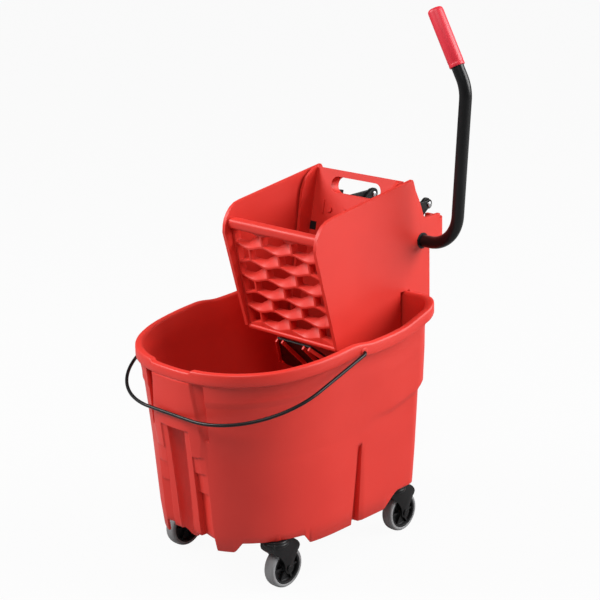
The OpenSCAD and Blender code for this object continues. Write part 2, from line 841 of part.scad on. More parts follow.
module bracket_bolts() {
    color(steel)
    on_plate()
        for (y = bolt_ys)
            translate([-plate_t / 2, y, bolt_up])
                rotate([0, 90, 0]) {
                    cylinder(d = bolt_d, h = plate_t + base_t);
                    translate([0, 0, plate_t + base_t])
                        cylinder(r = bolt_d - 0.5, h = 4, $fn = 6);
                }
}

// Lever bent from one tube, built along its axis with a given radius
module tube_ring() {
    difference() {
        circle(d = tube_d);
        circle(d = tube_d - 2 * tube_wall);
    }
}

module upright_frame() {
    translate([shaft_x, -lever_out - bend_r * sin(90 - lever_tilt), shaft_z + bend_z])
        rotate([lever_tilt, 0, 0])
            children();
}

module top_frame() {
    upright_frame()
        translate([0, elbow_r * (1 - cos(elbow_turn)), upright_len + elbow_r * sin(elbow_turn)])
            rotate([-elbow_turn, 0, 0])
                children();
}

shaft_end = wing_y + bush_lip + 3;

module lever_tube() {
    color(black) {
        translate([shaft_x, shaft_end, shaft_z])
            rotate([90, 0, 0])
                linear_extrude(shaft_end + lever_out)
                    tube_ring();
        translate([shaft_x, -lever_out, shaft_z + bend_r])
            rotate([180, 90, 0])
                rotate_extrude(angle = 90 - lever_tilt)
                    translate([bend_r, 0])
                        tube_ring();
        upright_frame() {
            linear_extrude(upright_len)
                tube_ring();
            translate([0, elbow_r, upright_len])
                rotate([90, 0, -90])
                    rotate_extrude(angle = elbow_turn)
                        translate([elbow_r, 0])
                            tube_ring();
        }
        top_frame()
            linear_extrude(top_len)
                tube_ring();
    }
}

module lever_grip() {
    color(crimson)
    top_frame()
        translate([0, 0, top_len - grip_len]) {
            difference() {
                cylinder(r = tube_d / 2 + grip_wall, h = grip_len);
                translate([0, 0, -1])
                    cylinder(d = tube_d, h = grip_len + 2);
            }
            translate([0, 0, grip_len])
                cylinder(r = tube_d / 2 + grip_wall, h = 3);
        }
}

module shaft_end_cap() {
    color(black)
    translate([shaft_x, shaft_end, shaft_z])
        rotate([-90, 0, 0]) {
            cylinder(r = tube_d / 2 + 3, h = 3);
            translate([0, 0, -12])
                cylinder(d = tube_d - 2 * tube_wall, h = 12);
        }
}

// Crank arm in X and Z with the shaft at zero
module crank_shape() {
    difference() {
        union() {
            circle(r = hub_r);
            rotate(crank_ang) {
                polygon([[0, -hub_r + 4], [crank_len, -eye_r], [crank_len, eye_r], [0, hub_r - 4]]);
                translate([crank_len, 0])
                    circle(r = eye_r);
            }
        }
        circle(d = tube_d);
        rotate(crank_ang)
            translate([crank_len, 0])
                circle(d = pin_d);
    }
}

module crank_arm() {
    translate([shaft_x, crank_y + crank_t, shaft_z])
        rotate([90, 0, 0])
            linear_extrude(crank_t)
                crank_shape();
}

module crank_left() { color(black) crank_arm(); }
module crank_right() { color(black) mirror([0, 1, 0]) crank_arm(); }

module crank_rivets() {
    color(steel)
    for (m = [0, 1])
        mirror([0, m, 0])
            translate([shaft_x + crank_x, crank_y, shaft_z + crank_z])
                rotate([-90, 0, 0]) {
                    translate([0, 0, -3])
                        cylinder(r = pin_d / 2 + 3, h = 3);
                    cylinder(d = pin_d, h = crank_t + link_t + 2 * free_gap);
                    translate([0, 0, crank_t + link_t + 2 * free_gap])
                        cylinder(r = pin_d / 2 + 3, h = 3);
                }
}

module push_link() {
    translate([pivot_x, link_y + link_t, pivot_z])
        rotate([90, 0, 0])
            linear_extrude(link_t)
                difference() {
                    union() {
                        circle(r = link_r);
                        translate([link_len, 0])
                            circle(r = link_r);
                        translate([0, -link_r + 2])
                            square([link_len, 2 * link_r - 4]);
                    }
                    circle(d = pin_d);
                    translate([link_len, 0])
                        circle(r = pin_d / 2 + run_gap);
                }
}

module push_link_left() { color(black) push_link(); }
module push_link_right() { color(black) mirror([0, 1, 0]) push_link(); }

module link_pins() {
    color(steel)
    for (m = [0, 1])
        mirror([0, m, 0])
            translate([pivot_x, link_y, pivot_z])
                rotate([-90, 0, 0]) {
                    translate([0, 0, -2.5])
                        cylinder(r = pin_d / 2 + 3, h = 2.5);
                    cylinder(d = pin_d, h = link_t + lug_t + 2 * free_gap);
                    translate([0, 0, link_t + lug_t + 2 * free_gap])
                        cylinder(r = pin_d / 2 + 6, h = 2.5);
                }
}

bucket_tub();
bail_wire();
caster_fork_fr();
caster_stem_fr();
wheel_axle_fr();
wheel_hub_fr();
wheel_tyre_fr();
caster_fork_fl();
caster_stem_fl();
wheel_axle_fl();
wheel_hub_fl();
wheel_tyre_fl();
caster_fork_rr();
caster_stem_rr();
wheel_axle_rr();
wheel_hub_rr();
wheel_tyre_rr();
caster_fork_rl();
caster_stem_rl();
wheel_axle_rl();
wheel_hub_rl();
wheel_tyre_rl();
wringer_right_side();
wringer_left_side();
wringer_front_grid();
wringer_rear_saddle();
drain_panel();
drain_ribs();
hinge_rod();
rod_clips();
shaft_bushes();
frame_dowels();
press_plate();
plate_bracket();
bracket_bolts();
lever_tube();
lever_grip();
shaft_end_cap();
crank_right();
crank_left();
crank_rivets();
push_link_right();
push_link_left();
link_pins();
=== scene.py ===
# %% [markdown]
# # A mop bucket with a side press wringer
# The object is a moulded red tub on four casters. A wringer hangs on its rear
# rim, and a bent lever squeezes the mop between a plate and a slotted grid.
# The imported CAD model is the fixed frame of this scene: every piece below is
# built in metres, in the same place as the solid that it stands for.

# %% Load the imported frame
import json
import math

import bmesh
import bpy
import numpy as np
from mathutils import Matrix, Vector


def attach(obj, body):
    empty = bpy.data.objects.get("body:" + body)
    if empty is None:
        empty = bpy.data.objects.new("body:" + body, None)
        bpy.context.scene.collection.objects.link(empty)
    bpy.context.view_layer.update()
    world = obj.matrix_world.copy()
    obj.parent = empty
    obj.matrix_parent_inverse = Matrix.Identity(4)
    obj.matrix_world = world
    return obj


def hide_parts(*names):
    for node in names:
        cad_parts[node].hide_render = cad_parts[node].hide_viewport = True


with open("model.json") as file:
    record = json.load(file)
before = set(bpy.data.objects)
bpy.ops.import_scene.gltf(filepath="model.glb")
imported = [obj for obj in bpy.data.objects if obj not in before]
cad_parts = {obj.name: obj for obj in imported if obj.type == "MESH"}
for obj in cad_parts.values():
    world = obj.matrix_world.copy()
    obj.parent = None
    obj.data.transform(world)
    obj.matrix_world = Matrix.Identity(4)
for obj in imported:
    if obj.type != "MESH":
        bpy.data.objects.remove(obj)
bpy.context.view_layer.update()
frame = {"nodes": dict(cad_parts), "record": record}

MM = 0.001
for name in ("Cube", "Camera", "Light"):
    if name in bpy.data.objects:
        bpy.data.objects.remove(bpy.data.objects[name])
bodies = frame["record"]["behaviour"]["bodies"]
node_body = {node: body for body, nodes in bodies.items() for node in nodes}


def add_object(name, data):
    made = bpy.data.objects.new(name, data)
    bpy.context.scene.collection.objects.link(made)
    return made


# %% [markdown]
# ## The camera
# The picture of the real object was taken a little from above, over the front
# corner on the lever side, with a long lens. A camera is placed by its own
# axes here, because that keeps the small roll of the picture, which a simple
# look-at constraint would lose.

# %% Camera
AZIMUTH, ELEVATION, ROLL = (math.radians(v) for v in (-45.4, 17.0, -1.5))
DISTANCE, LENS, SENSOR, FAR_CLIP = 2.8668, 96.55, 36.0, 50.0
TARGET = Vector((0.0885, 0.0, 0.447))

back = Vector((math.sin(AZIMUTH) * math.cos(ELEVATION),
               -math.cos(AZIMUTH) * math.cos(ELEVATION), math.sin(ELEVATION)))
flat_right = Vector((math.cos(AZIMUTH), math.sin(AZIMUTH), 0))
flat_up = back.cross(flat_right)
right = math.cos(ROLL) * flat_right + math.sin(ROLL) * flat_up
up = math.cos(ROLL) * flat_up - math.sin(ROLL) * flat_right
camera = add_object("camera", bpy.data.cameras.new("camera"))
camera.data.lens = LENS
camera.data.sensor_width = SENSOR
camera.data.clip_end = FAR_CLIP
eye = TARGET + DISTANCE * back
turned = Matrix((right, up, back)).transposed().to_4x4()
camera.matrix_world = Matrix.Translation(eye) @ turned
bpy.context.scene.camera = camera
print("camera at", [round(v, 3) for v in eye])

# %% [markdown]
# ## Floor and light
# Products like this are shown on white. The floor is a pale sheet that the
# camera sees as nearly white, and it still takes the soft shadow under the
# wheels. A large soft lamp stands on the lever side, a second one on the far
# front side and a weak one high over the front. The wall between them turns
# darker, which shows how round it is. The sky is dim, so that the inside of
# the tub stays deep.

# %% Floor
def node_tree(owner):
    owner.use_nodes = True
    owner.node_tree.nodes.clear()
    return owner.node_tree


def add_node(tree, kind, **inputs):
    node = tree.nodes.new(kind)
    for key, value in inputs.items():
        node.inputs[key.replace("_", " ")].default_value = value
    return node


def wire(tree, *pairs):
    for source, target in pairs:
        tree.links.new(source, target)


def mix_shaders(tree, share, first, second, end):
    """Mixes two shaders by a share and ends the tree."""
    mix = tree.nodes.new("ShaderNodeMixShader")
    wire(tree, (share, mix.inputs[0]),
         (first.outputs[0], mix.inputs[1]),
         (second.outputs[0], mix.inputs[2]),
         (mix.outputs[0], tree.nodes.new(end).inputs[0]))


def seen_directly(tree):
    """1 for rays that show the surface to the camera."""
    return tree.nodes.new("ShaderNodeLightPath").outputs["Is Camera Ray"]


WHITE = (1, 1, 1, 1)
FLOOR_GREY, FLOOR_WHITE = 0.40, 0.95
FLOOR_HALF, FLOOR_DROP = 40.0, 0.0006
floor_finish = bpy.data.materials.new("pale_floor")
tree = node_tree(floor_finish)
plain = add_node(tree, "ShaderNodeBsdfDiffuse", Color=(FLOOR_GREY, FLOOR_GREY, FLOOR_GREY, 1))
glow = add_node(tree, "ShaderNodeEmission", Color=WHITE, Strength=1.0)
share = tree.nodes.new("ShaderNodeMath")
share.operation = "MULTIPLY"
share.inputs[1].default_value = FLOOR_WHITE
tree.links.new(seen_directly(tree), share.inputs[0])
mix_shaders(tree, share.outputs[0], plain, glow, "ShaderNodeOutputMaterial")

floor_mesh = bpy.data.meshes.new("floor")
floor_mesh.from_pydata([(x * FLOOR_HALF, y * FLOOR_HALF, -FLOOR_DROP) for x, y in (
    (-1, -1), (1, -1), (1, 1), (-1, 1))], [], [(0, 1, 2, 3)])
floor = add_object("floor", floor_mesh)
floor_mesh.materials.append(floor_finish)
print("floor", 2 * FLOOR_HALF, "m")

# %% Light
SKY, PAPER = 0.11, 0.97
world = bpy.data.worlds.new("soft_sky")
bpy.context.scene.world = world
tree = node_tree(world)
sky = add_node(tree, "ShaderNodeBackground", Color=WHITE, Strength=SKY)
paper = add_node(tree, "ShaderNodeBackground", Color=WHITE, Strength=PAPER)
mix_shaders(tree, seen_directly(tree), sky, paper, "ShaderNodeOutputWorld")


def soft_lamp(name, spot, aim, size, power):
    lamp = bpy.data.lights.new(name, "AREA")
    lamp.shape = "DISK"
    lamp.size = size
    lamp.energy = power
    holder = add_object(name, lamp)
    look = (Vector(aim) - Vector(spot)).to_track_quat("-Z", "Y")
    holder.matrix_world = Matrix.Translation(spot) @ look.to_matrix().to_4x4()


soft_lamp("right_lamp", spot=(2.5, -2.8, 2.2), aim=(0.1, 0, 0.45), size=3.2, power=250)
soft_lamp("left_lamp", spot=(-1.9, 1.85, 2.3), aim=(0.0, 0, 0.45), size=1.8, power=112)
soft_lamp("top_lamp", spot=(-1.6, -0.9, 3.0), aim=(0.05, 0, 0.45), size=1.5, power=46)
bpy.context.scene.view_settings.view_transform = "Standard"

# %% [markdown]
# ## Finishes
# Each finish is a Principled shader with noise on Object coordinates, so a
# pattern stays on its piece when a joint moves. Moulded plastic has a slow
# drift of colour from the melt, a fine grain from the mould and a gloss that
# changes a little from place to place. Rubber and paint are made in the same
# way, with other scales.

# %% A builder for moulded and painted finishes
NOISE_LOW, NOISE_HIGH = 0.3, 0.7
GLOSS_SCALE, PATCH_SCALE, GRAIN_HEIGHT = 11.0, 7.0, 0.0004


def noise_on(tree, coords, scale, detail=3.0):
    noise = add_node(tree, "ShaderNodeTexNoise", Scale=scale, Detail=detail)
    tree.links.new(coords, noise.inputs["Vector"])
    return noise.outputs["Fac"]


def drift(tree, coords, scale, low, high):
    """A colour that wanders slowly between two shades."""
    ramp = tree.nodes.new("ShaderNodeValToRGB")
    stops = zip(ramp.color_ramp.elements, (NOISE_LOW, NOISE_HIGH), (low, high))
    for stop, position, shade in stops:
        stop.position, stop.color = position, (*shade, 1)
    tree.links.new(noise_on(tree, coords, scale), ramp.inputs["Fac"])
    return ramp.outputs["Color"]


def spread(tree, coords, scale, low, high):
    """A number that wanders between two limits."""
    span = add_node(tree, "ShaderNodeMapRange", From_Min=NOISE_LOW, From_Max=NOISE_HIGH,
                    To_Min=low, To_Max=high)
    tree.links.new(noise_on(tree, coords, scale), span.inputs["Value"])
    return span.outputs["Result"]


def finish_of(name, low, high, rough, grain, bump, metal=0.0, specular=0.5):
    finish = bpy.data.materials.new(name)
    tree = node_tree(finish)
    coords = tree.nodes.new("ShaderNodeTexCoord").outputs["Object"]
    shader = add_node(tree, "ShaderNodeBsdfPrincipled", Metallic=metal,
                      Specular_IOR_Level=specular)
    out = tree.nodes.new("ShaderNodeOutputMaterial")
    wire(tree, (shader.outputs[0], out.inputs[0]),
         (drift(tree, coords, PATCH_SCALE, low, high), shader.inputs["Base Color"]),
         (spread(tree, coords, GLOSS_SCALE, *rough), shader.inputs["Roughness"]))
    relief = add_node(tree, "ShaderNodeBump", Strength=bump, Distance=GRAIN_HEIGHT)
    tree.links.new(noise_on(tree, coords, grain, 2.0), relief.inputs["Height"])
    tree.links.new(relief.outputs[0], shader.inputs["Normal"])
    finish.diffuse_color = (*high, 1)
    print("finish", name, "roughness", rough)
    return finish


# %% The finishes of this object
FINISH = {
    "red_plastic": finish_of(
        "moulded_red", (0.60, 0.027, 0.018), (0.65, 0.033, 0.022),
        rough=(0.42, 0.52), grain=1100.0, bump=0.10, specular=0.38),
    "crimson_grip": finish_of(
        "soft_crimson", (0.53, 0.012, 0.028), (0.62, 0.018, 0.036),
        rough=(0.40, 0.52), grain=900.0, bump=0.16),
    "black_steel": finish_of(
        "black_enamel", (0.0050, 0.0050, 0.0055), (0.0085, 0.0085, 0.0090),
        rough=(0.26, 0.38), grain=300.0, bump=0.05, specular=0.25),
    "black_plastic": finish_of(
        "moulded_black", (0.008, 0.008, 0.009), (0.014, 0.014, 0.015),
        rough=(0.40, 0.54), grain=1300.0, bump=0.18, specular=0.22),
    "grey_rubber": finish_of(
        "tyre_grey", (0.20, 0.20, 0.205), (0.26, 0.26, 0.265),
        rough=(0.52, 0.66), grain=800.0, bump=0.22, specular=0.35),
    "bright_steel": finish_of(
        "plated_steel", (0.36, 0.36, 0.37), (0.46, 0.46, 0.47),
        rough=(0.24, 0.36), grain=500.0, bump=0.08, metal=1.0)}
print("finishes", sorted(FINISH))

# %% [markdown]
# ## Helpers for pieces
# Every piece ends in the same way: a plain mesh at the origin, one finish,
# the body that it rides on, and the solid that it stands for. Pieces that keep
# the form of their solid start from a merged copy of its mesh and get rounded
# edges from the Bevel modifier, because real mouldings and cut plates have no
# sharp corners, and a rounded edge is what catches the light.

# %% Making, settling and placing pieces
MERGE = 1e-6


def new_piece(name, verts, faces):
    mesh = bpy.data.meshes.new(name)
    mesh.from_pydata([tuple(v) for v in verts], [], faces)
    mesh.validate()
    return add_object(name, mesh)


def settle(piece):
    """Turns the modifiers of a piece into its plain mesh."""
    bpy.context.view_layer.update()
    shown = piece.evaluated_get(bpy.context.evaluated_depsgraph_get())
    mesh = bpy.data.meshes.new_from_object(shown)
    mesh.name = piece.name
    piece.modifiers.clear()
    piece.data = mesh
    return piece


def smooth(piece, angle=35.0):
    piece.data.shade_smooth()
    piece.data.set_sharp_from_angle(angle=math.radians(angle))
    return piece


def tidy_normals(piece):
    """Merges doubled points and turns all faces outwards."""
    work = bmesh.new()
    work.from_mesh(piece.data)
    bmesh.ops.remove_doubles(work, verts=work.verts, dist=MERGE)
    bmesh.ops.recalc_face_normals(work, faces=work.faces)
    work.to_mesh(piece.data)
    work.free()
    return piece


def place(piece, slot, *nodes):
    piece.data.materials.clear()
    piece.data.materials.append(FINISH[slot])
    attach(piece, node_body[nodes[0]])
    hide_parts(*nodes)
    print(piece.name, "faces", len(piece.data.polygons), "stands for", *nodes)
    return piece


def join(name, parts):
    """One mesh from several."""
    work = bmesh.new()
    for part in parts:
        work.from_mesh(part.data)
    mesh = bpy.data.meshes.new(name)
    work.to_mesh(mesh)
    work.free()
    for part in parts:
        bpy.data.objects.remove(part)
    return add_object(name, mesh)


# %% Rounded copies of solids
FLAT_WITHIN = 0.6


def round_edges(piece, width, steps, angle):
    bevel = piece.modifiers.new("rounded_edge", "BEVEL")
    bevel.width = width * MM
    bevel.segments = steps
    bevel.limit_method = "ANGLE"
    bevel.angle_limit = math.radians(angle)


def rounded_copy(node, name, edge):
    """A merged copy of a solid with its edges rounded."""
    mesh = bpy.data.meshes.new(name)
    work = bmesh.new()
    work.from_mesh(frame["nodes"][node].data)
    bmesh.ops.remove_doubles(work, verts=work.verts, dist=2 * MERGE)
    bmesh.ops.dissolve_limit(work, angle_limit=math.radians(FLAT_WITHIN),
                             verts=work.verts, edges=work.edges)
    work.to_mesh(mesh)
    work.free()
    piece = add_object(name, mesh)
    round_edges(piece, edge, steps=3, angle=40)
    even = piece.modifiers.new("even_shade", "WEIGHTED_NORMAL")
    even.mode = "FACE_AREA"
    mesh.shade_smooth()
    return settle(piece)


def place_copies(*rows):
    """Places rounded copies, each given by node, name, slot and edge width."""
    for node, name, slot, edge in rows:
        place(rounded_copy(node, name, edge), slot, node)


print("solids to copy from", len(frame["nodes"]))

# %% [markdown]
# ## The tub
# The tub is one thin moulding: a round front, straight sides, square rear
# corners and a rolled rim that rises towards the wringer. It could be sculpted
# or subdivided from a few loops, but a lattice of columns and rows gives exact
# control. Each row is an outline at one height. Columns and rows stand close
# together where an edge is wanted: at the raised front panel, the fluted
# recess in it, the grooves and ledges beside it and the feet of the skirt.

# %% Rim line and insets
REAR, HALF_WIDTH, FRONT = 250.0, 200.0, 228.0
RIM, RISE, WALL = 416.0, 34.0, 5.0
RIM_SQUARE, LIP_DROP = 2.35, 4.2
RIM_LINE = np.array([
    (-1, -0.22), (-0.6, -0.16), (-0.25, 0), (0.09, 0.2), (0.25, 0.03),
    (0.45, 0.08), (0.6, 0.2), (0.86, 0.78), (0.93, 1), (1, 1)])


def rim_over(x):
    """How far the rim stands over its front height, averaged along 20 mm."""
    total = 0.0
    shifts = (-10, -5, 0, 5, 10)
    for shift in shifts:
        far = np.clip(x + shift, -FRONT, REAR)
        share = np.where(far > 0, far / REAR, far / FRONT)
        total = total + np.interp(share, RIM_LINE[:, 0], RIM_LINE[:, 1])
    return RISE * total / len(shifts)


# height, inset at the front, the sides and the rear, squareness, raised panel
OUTSIDE = np.array([
    (78, 26, 35, 36, 2.2, 0), (124, 20, 31.5, 34.5, 2.2, 0), (170, 17, 28.8, 31.5, 2.2, 0),
    (250, 11.5, 24.8, 28, 2.2, 1.5), (290, 8.4, 21, 26.5, 2.2, 2.7),
    (301, 7.8, 19.9, 14.5, 2.2, 3.1), (350, 6, 15.3, 12, 2.25, 3.5),
    (372, 5.5, 14.8, 11.5, 2.25, 4), (392, 4.5, 11, 9.5, 2.3, 4.5)])
INSIDE = np.array([
    (112, 36, 45, 47, 2.2, 0), (124, 29, 36.5, 39.5, 2.2, 0), (170, 25, 33.8, 36.5, 2.2, 0),
    (250, 20, 29.8, 33, 2.2, 0), (289, 18.6, 26.4, 31.5, 2.2, 0),
    (301, 17.8, 24.9, 19.5, 2.2, 0), (350, 17, 20.3, 17, 2.25, 0),
    (392, 15.5, 18, 16, 2.25, 0)])


def at_height(table, z, more=0.0):
    """The insets at a height, with an equal amount added to the first three."""
    front, sides, rear, square, panel = (
        float(np.interp(z, table[:, 0], table[:, i])) for i in range(1, 6))
    return front + more, sides + more, rear + more, square, panel


print("rim stands over its front by", [round(float(rim_over(x))) for x in (-FRONT, 0, REAR)])

# %% Columns round the tub
front_ys = np.concatenate([[0, 4, 8], np.arange(11, 72.1, 0.8), [74, 76, 78.0]])
turn_share = np.linspace(0, 1, 64)[1:]
late_share = np.linspace(0, 1, 21)[1:]
corner_turns = np.radians(np.linspace(0, 90, 17)[1:])
rear_share = np.linspace(0, 1, 9)[1:]


def notch_edges(z):
    """Left edge, right edge and end of the soft shoulder of the side notch."""
    return [np.interp(z, [58, 224], ends) for ends in ([33.5, 46], [54, 56], [66, 62])]


def side_stations(z):
    """Places along the side, close together at the edges of the notch."""
    left, right, shoulder = notch_edges(z)
    near = left + np.array([-5, -2.4, -0.9, 0.0, 0.9, 2.4])
    inside = np.linspace(near[-1], right - 1.2, 4)[1:]
    beyond = np.linspace(right + 1, shoulder, 4)
    return np.concatenate([np.linspace(0, near[0], 6)[1:-1], near, inside,
                           [right - 0.5, right + 0.2], beyond, [shoulder + 4]])


def half_outline(front, sides, rear, square, panel, z):
    """One half of an outline, from the middle of the front to that of the rear."""
    length, width, end = FRONT - front, HALF_WIDTH - sides, REAR - rear
    corner = max(20.0, 46 - 0.5 * rear)
    edge = np.interp(z, [240, 286, 386], [50, 58, 46])
    fall = np.interp(z, [240, 286, 300], [14, 8, 3.6])
    raised = np.interp(front_ys, [edge, edge + fall], [1, 0])
    first = math.asin((front_ys[-1] / width) ** (square / 2))
    turn = first + (math.pi / 2 - first) * turn_share
    side = side_stations(z)
    late = side[-1] + (end - corner - side[-1]) * late_share
    xs = [-length * (1 - (front_ys / width) ** square) ** (1 / square) - panel * raised,
          -length * np.maximum(0, np.cos(turn)) ** (2 / square),
          side, late,
          end - corner + corner * np.sin(corner_turns),
          np.full(len(rear_share), end)]
    ys = [front_ys,
          width * np.sin(turn) ** (2 / square),
          np.full(len(side) + len(late), width),
          width - corner + corner * np.cos(corner_turns),
          (width - corner) * (1 - rear_share)]
    return np.concatenate(xs), np.concatenate(ys)


def outline(insets, z=300):
    x, y = half_outline(*insets, z)
    return np.concatenate([x, x[-2:0:-1]]), np.concatenate([y, -y[-2:0:-1]])


columns = len(outline((0, 0, 0, RIM_SQUARE, 0))[0])
from_front = np.minimum(np.arange(columns), columns - np.arange(columns))
side_start = len(front_ys) + len(turn_share)
side_end = side_start + len(side_stations(300))
front_flag = from_front < len(front_ys)
side_flag = (from_front >= side_start) & (from_front < side_end)
print("columns", columns)

# %% [markdown]
# ### Recesses, grooves and feet
# The real wall is pressed in at the front, where a foot or a hand finds hold,
# and notched at the sides. Cutting such forms with booleans leaves ragged
# edges on a thin wall. Here each form is a depth at a place, and the wall is
# moved inwards by that depth. The lower edge is a height at a place.

# %% Depth of the recesses and height of the lower edge
FLUTE_DEEP, GROOVE_RIGHT = 25.0, 68.6
FRONT_STEM, REAR_STEM = (-115.0, 127.0), (189.0, 128.0)
FOOT_Z, FRONT_ARCH, REAR_ARCH, FRONT_GAP = 78.0, 17.5, 27.0, 22.5


def front_depth(y, z):
    """How deep the front wall is pressed in at a place, in millimetres."""
    y = np.abs(y)
    below = np.interp(z, [294.4, 295.2, 296.4, 297.2], [1, 0.86, 0.14, 0])
    shelf = np.interp(y, [20, 33.2, 34.6], [4.6, 2.4, 0])
    edge = np.interp(z, [100, 296], [16.5, 21.5])
    flute = FLUTE_DEEP * np.sqrt(np.clip(1 - (y / edge) ** 2, 0, 1))
    flute = flute * np.interp(z, [100, 128], [0.75, 1])
    step = np.interp(z, [100, 182.4, 183.6, 219.4, 220.6, 250.4, 251.6],
                     [13, 14.5, 9, 8.6, 4.4, 4, 0])
    ledge = step * np.interp(y, [33.2, 34.2, 47, 61], [0, 1, 0.55, 0])
    left = np.interp(z, [286, 386], [60, 47])
    groove = np.clip((y - left) / (GROOVE_RIGHT - left), 0, 1) ** 1.3
    groove = groove * np.interp(z, [286, 386], [5, 10.5]) * np.interp(z, [283, 285], [0, 1])
    groove = groove * np.interp(y - GROOVE_RIGHT, [0, 0.8, 1.6], [1, 0.3, 0])
    return np.max([below * shelf, below * flute, ledge, groove], axis=0)


def side_depth(x, z):
    """The upright notch in each side, deepest at the foot."""
    left, right, shoulder = notch_edges(z)
    deep = np.interp(z, [58, 214, 222, 229], [14, 7, 5.5, 0])
    fade = np.clip((shoulder - x) / (shoulder - right), 0, 1)
    opening = np.clip((x - left) / 1.8 + 0.5, 0, 1)
    closing = np.interp(x - right, [-0.5, 0.2, 1], [1, 0.5, 0.2])
    soft = np.interp(z, [100, 200, 226], [2.8, 2.0, 0]) * fade ** 1.5 * (x > right - 1)
    return np.maximum(deep * opening * closing * fade, soft)


def skirt_low(x, y):
    """Height of the lower edge: feet at the corners, arches over the casters."""
    y = np.abs(y)
    reach = np.hypot(x - FRONT_STEM[0], y - FRONT_STEM[1])
    far, near = (np.interp(x, [-160, -120], ends) for ends in ([73, 61], [59, 50]))
    front = FRONT_ARCH * np.clip((far - reach) / (far - near), 0, 1)
    reach = np.hypot(x - REAR_STEM[0], y - REAR_STEM[1])
    rear = REAR_ARCH * np.clip((78 - reach) / 28, 0, 1)
    gap = np.where(x < 0, np.interp(y, [6, 14.5, 61, 62.5], [0.3, 1, 1, 0]), 0)
    return FOOT_Z + np.max([front, rear, FRONT_GAP * gap], axis=0)


print("deepest place of the front recess", round(float(front_depth(0.0, 200.0)), 1), "mm")

# %% [markdown]
# ### Rows of the tub
# The rows run from the underside round the lower edge, up the outside, over
# the rim and down the inside to the floor, so the wall has a real thickness.
# The inside keeps clear of the recesses, as a moulding with an even wall does.

# %% One row of the wall
SKIRT_TOP, SWELL = 110, 2.4


def blend(x0, x1, t):
    t = np.clip(t, 0, 1)
    return x0 + (x1 - x0) * t * t * (3 - 2 * t)


def wall_row(table, z, share, pressed, low=None, thick=0.0):
    """A row at a height, with a share of the rim's rise, or along a lower edge."""
    insets = at_height(table, z, thick)
    x, y = outline(insets, z)
    if pressed:
        over_step = z - np.interp(x, [131, 236], [269, 296])
        inward = np.interp(over_step, [-40, -5.5, 5.5, 60], [0, 1.6, -2.2, 0])
        y = y - np.sign(y) * inward * blend(0, 1, (x - 50) / 110)
    if low is not None:
        insets = at_height(table, SKIRT_TOP, thick)
        high_x, high_y = outline(insets, SKIRT_TOP)
        t = np.clip((low - z) / (SKIRT_TOP - z), 0, 1)
        x, y = x + (high_x - x) * t, y + (high_y - y) * t
    heights = np.full(columns, float(z)) if low is None else low
    heights = heights + share * rim_over(x)
    if pressed:
        front, sides, *others = insets
        wide_x, wide_y = outline((front - SWELL, sides - SWELL, *others), z)
        fold = np.interp(x, [-FRONT, -60, 25], [346, 352, 400])
        swell = np.clip((heights - fold) / 7, 0, 1) * (x < 25)
        swell = swell * np.interp(np.abs(y), [69, 71], [0, 1])
        x, y = blend(x, wide_x, swell), blend(y, wide_y, swell)
        x = np.where(front_flag & (x < 0), x + front_depth(y, heights), x)
        y = np.where(side_flag, y - np.sign(y) * side_depth(x, heights), y)
    return np.stack([x, y, heights], 1)


print("thickest fold under the rim", SWELL, "mm")

# %% Rows of the outside
FOOT_INSETS = (26, 35, 31, 2.2, 0)
low_edge = skirt_low(*outline(FOOT_INSETS))
rows = [wall_row(OUTSIDE, 107, 0, True, thick=WALL),
        wall_row(OUTSIDE, 80, 0, True, low=low_edge, thick=WALL),
        wall_row(OUTSIDE, 78, 0, True, low=low_edge, thick=1.0),
        wall_row(OUTSIDE, 79, 0, True, low=low_edge + 1.0)]
wall_zs = [
    110, 117, 124, 135, 147, 160, 172, 179, 182.4, 183.6, 187, 194, 202, 210, 216,
    219.4, 220.6, 224, 226.5, 229, 234, 241, 247, 250.4, 251.6, 255, 258, 261, 264,
    267, 270, 273, 276, 279, 281, 283, 284, 285, 287, 290, 292, 294.4, 295.2, 296.4,
    297.2, 299, 301, 304]
rows += [wall_row(OUTSIDE, z, 0, True) for z in wall_zs]
rows += [wall_row(OUTSIDE, z, share, True) for z, share in (
    (312, 0.15), (325, 0.3), (336, 0.42), (343, 0.5), (348, 0.57), (353, 0.66),
    (360, 0.8), (366, 0.9), (372, 1), (382, 1), (388, 1), (391, 1), (392, 1))]
print("rows of the outside", len(rows))


# %% Rows of the rim
def rim_row(inset, z, drop):
    """A row of the rolled rim, lower along the pouring lip."""
    x, y = outline((inset, inset, inset, RIM_SQUARE, 0))
    lip = np.where(x < 0, np.interp(np.abs(y), [45.6, 50.6], [1, 0]), 0)
    heights = z + rim_over(x) - drop * LIP_DROP * lip
    return np.stack([x, y, heights], 1)


rows += [rim_row(inset, RIM + z, drop) for inset, z, drop in (
    (1.6, -21.2, 0), (0.5, -20.6, 0), (0, -19.4, 0), (0, -12, 0.4), (0, -6, 1),
    (0.3, -2.6, 1), (1.2, -0.8, 1), (2.6, 0, 1), (6, 0.4, 1), (9.6, 0.1, 1),
    (11.8, -0.8, 1), (13.2, -2.4, 1), (14, -4.6, 1))]
print("rows up to the rim", len(rows))


# %% Rows of the inside and its floor
def clear_of(row, outer, thick):
    """Moves a row inwards where a recess of the outside comes too near."""
    x, y, heights = row.T
    front = front_flag & (x < 0)
    x = np.where(front, np.maximum(x, outer[:, 0] + thick), x)
    near = np.minimum(np.abs(y), np.abs(outer[:, 1]) - thick)
    return np.stack([x, np.where(side_flag, np.sign(y) * near, y), heights], 1)


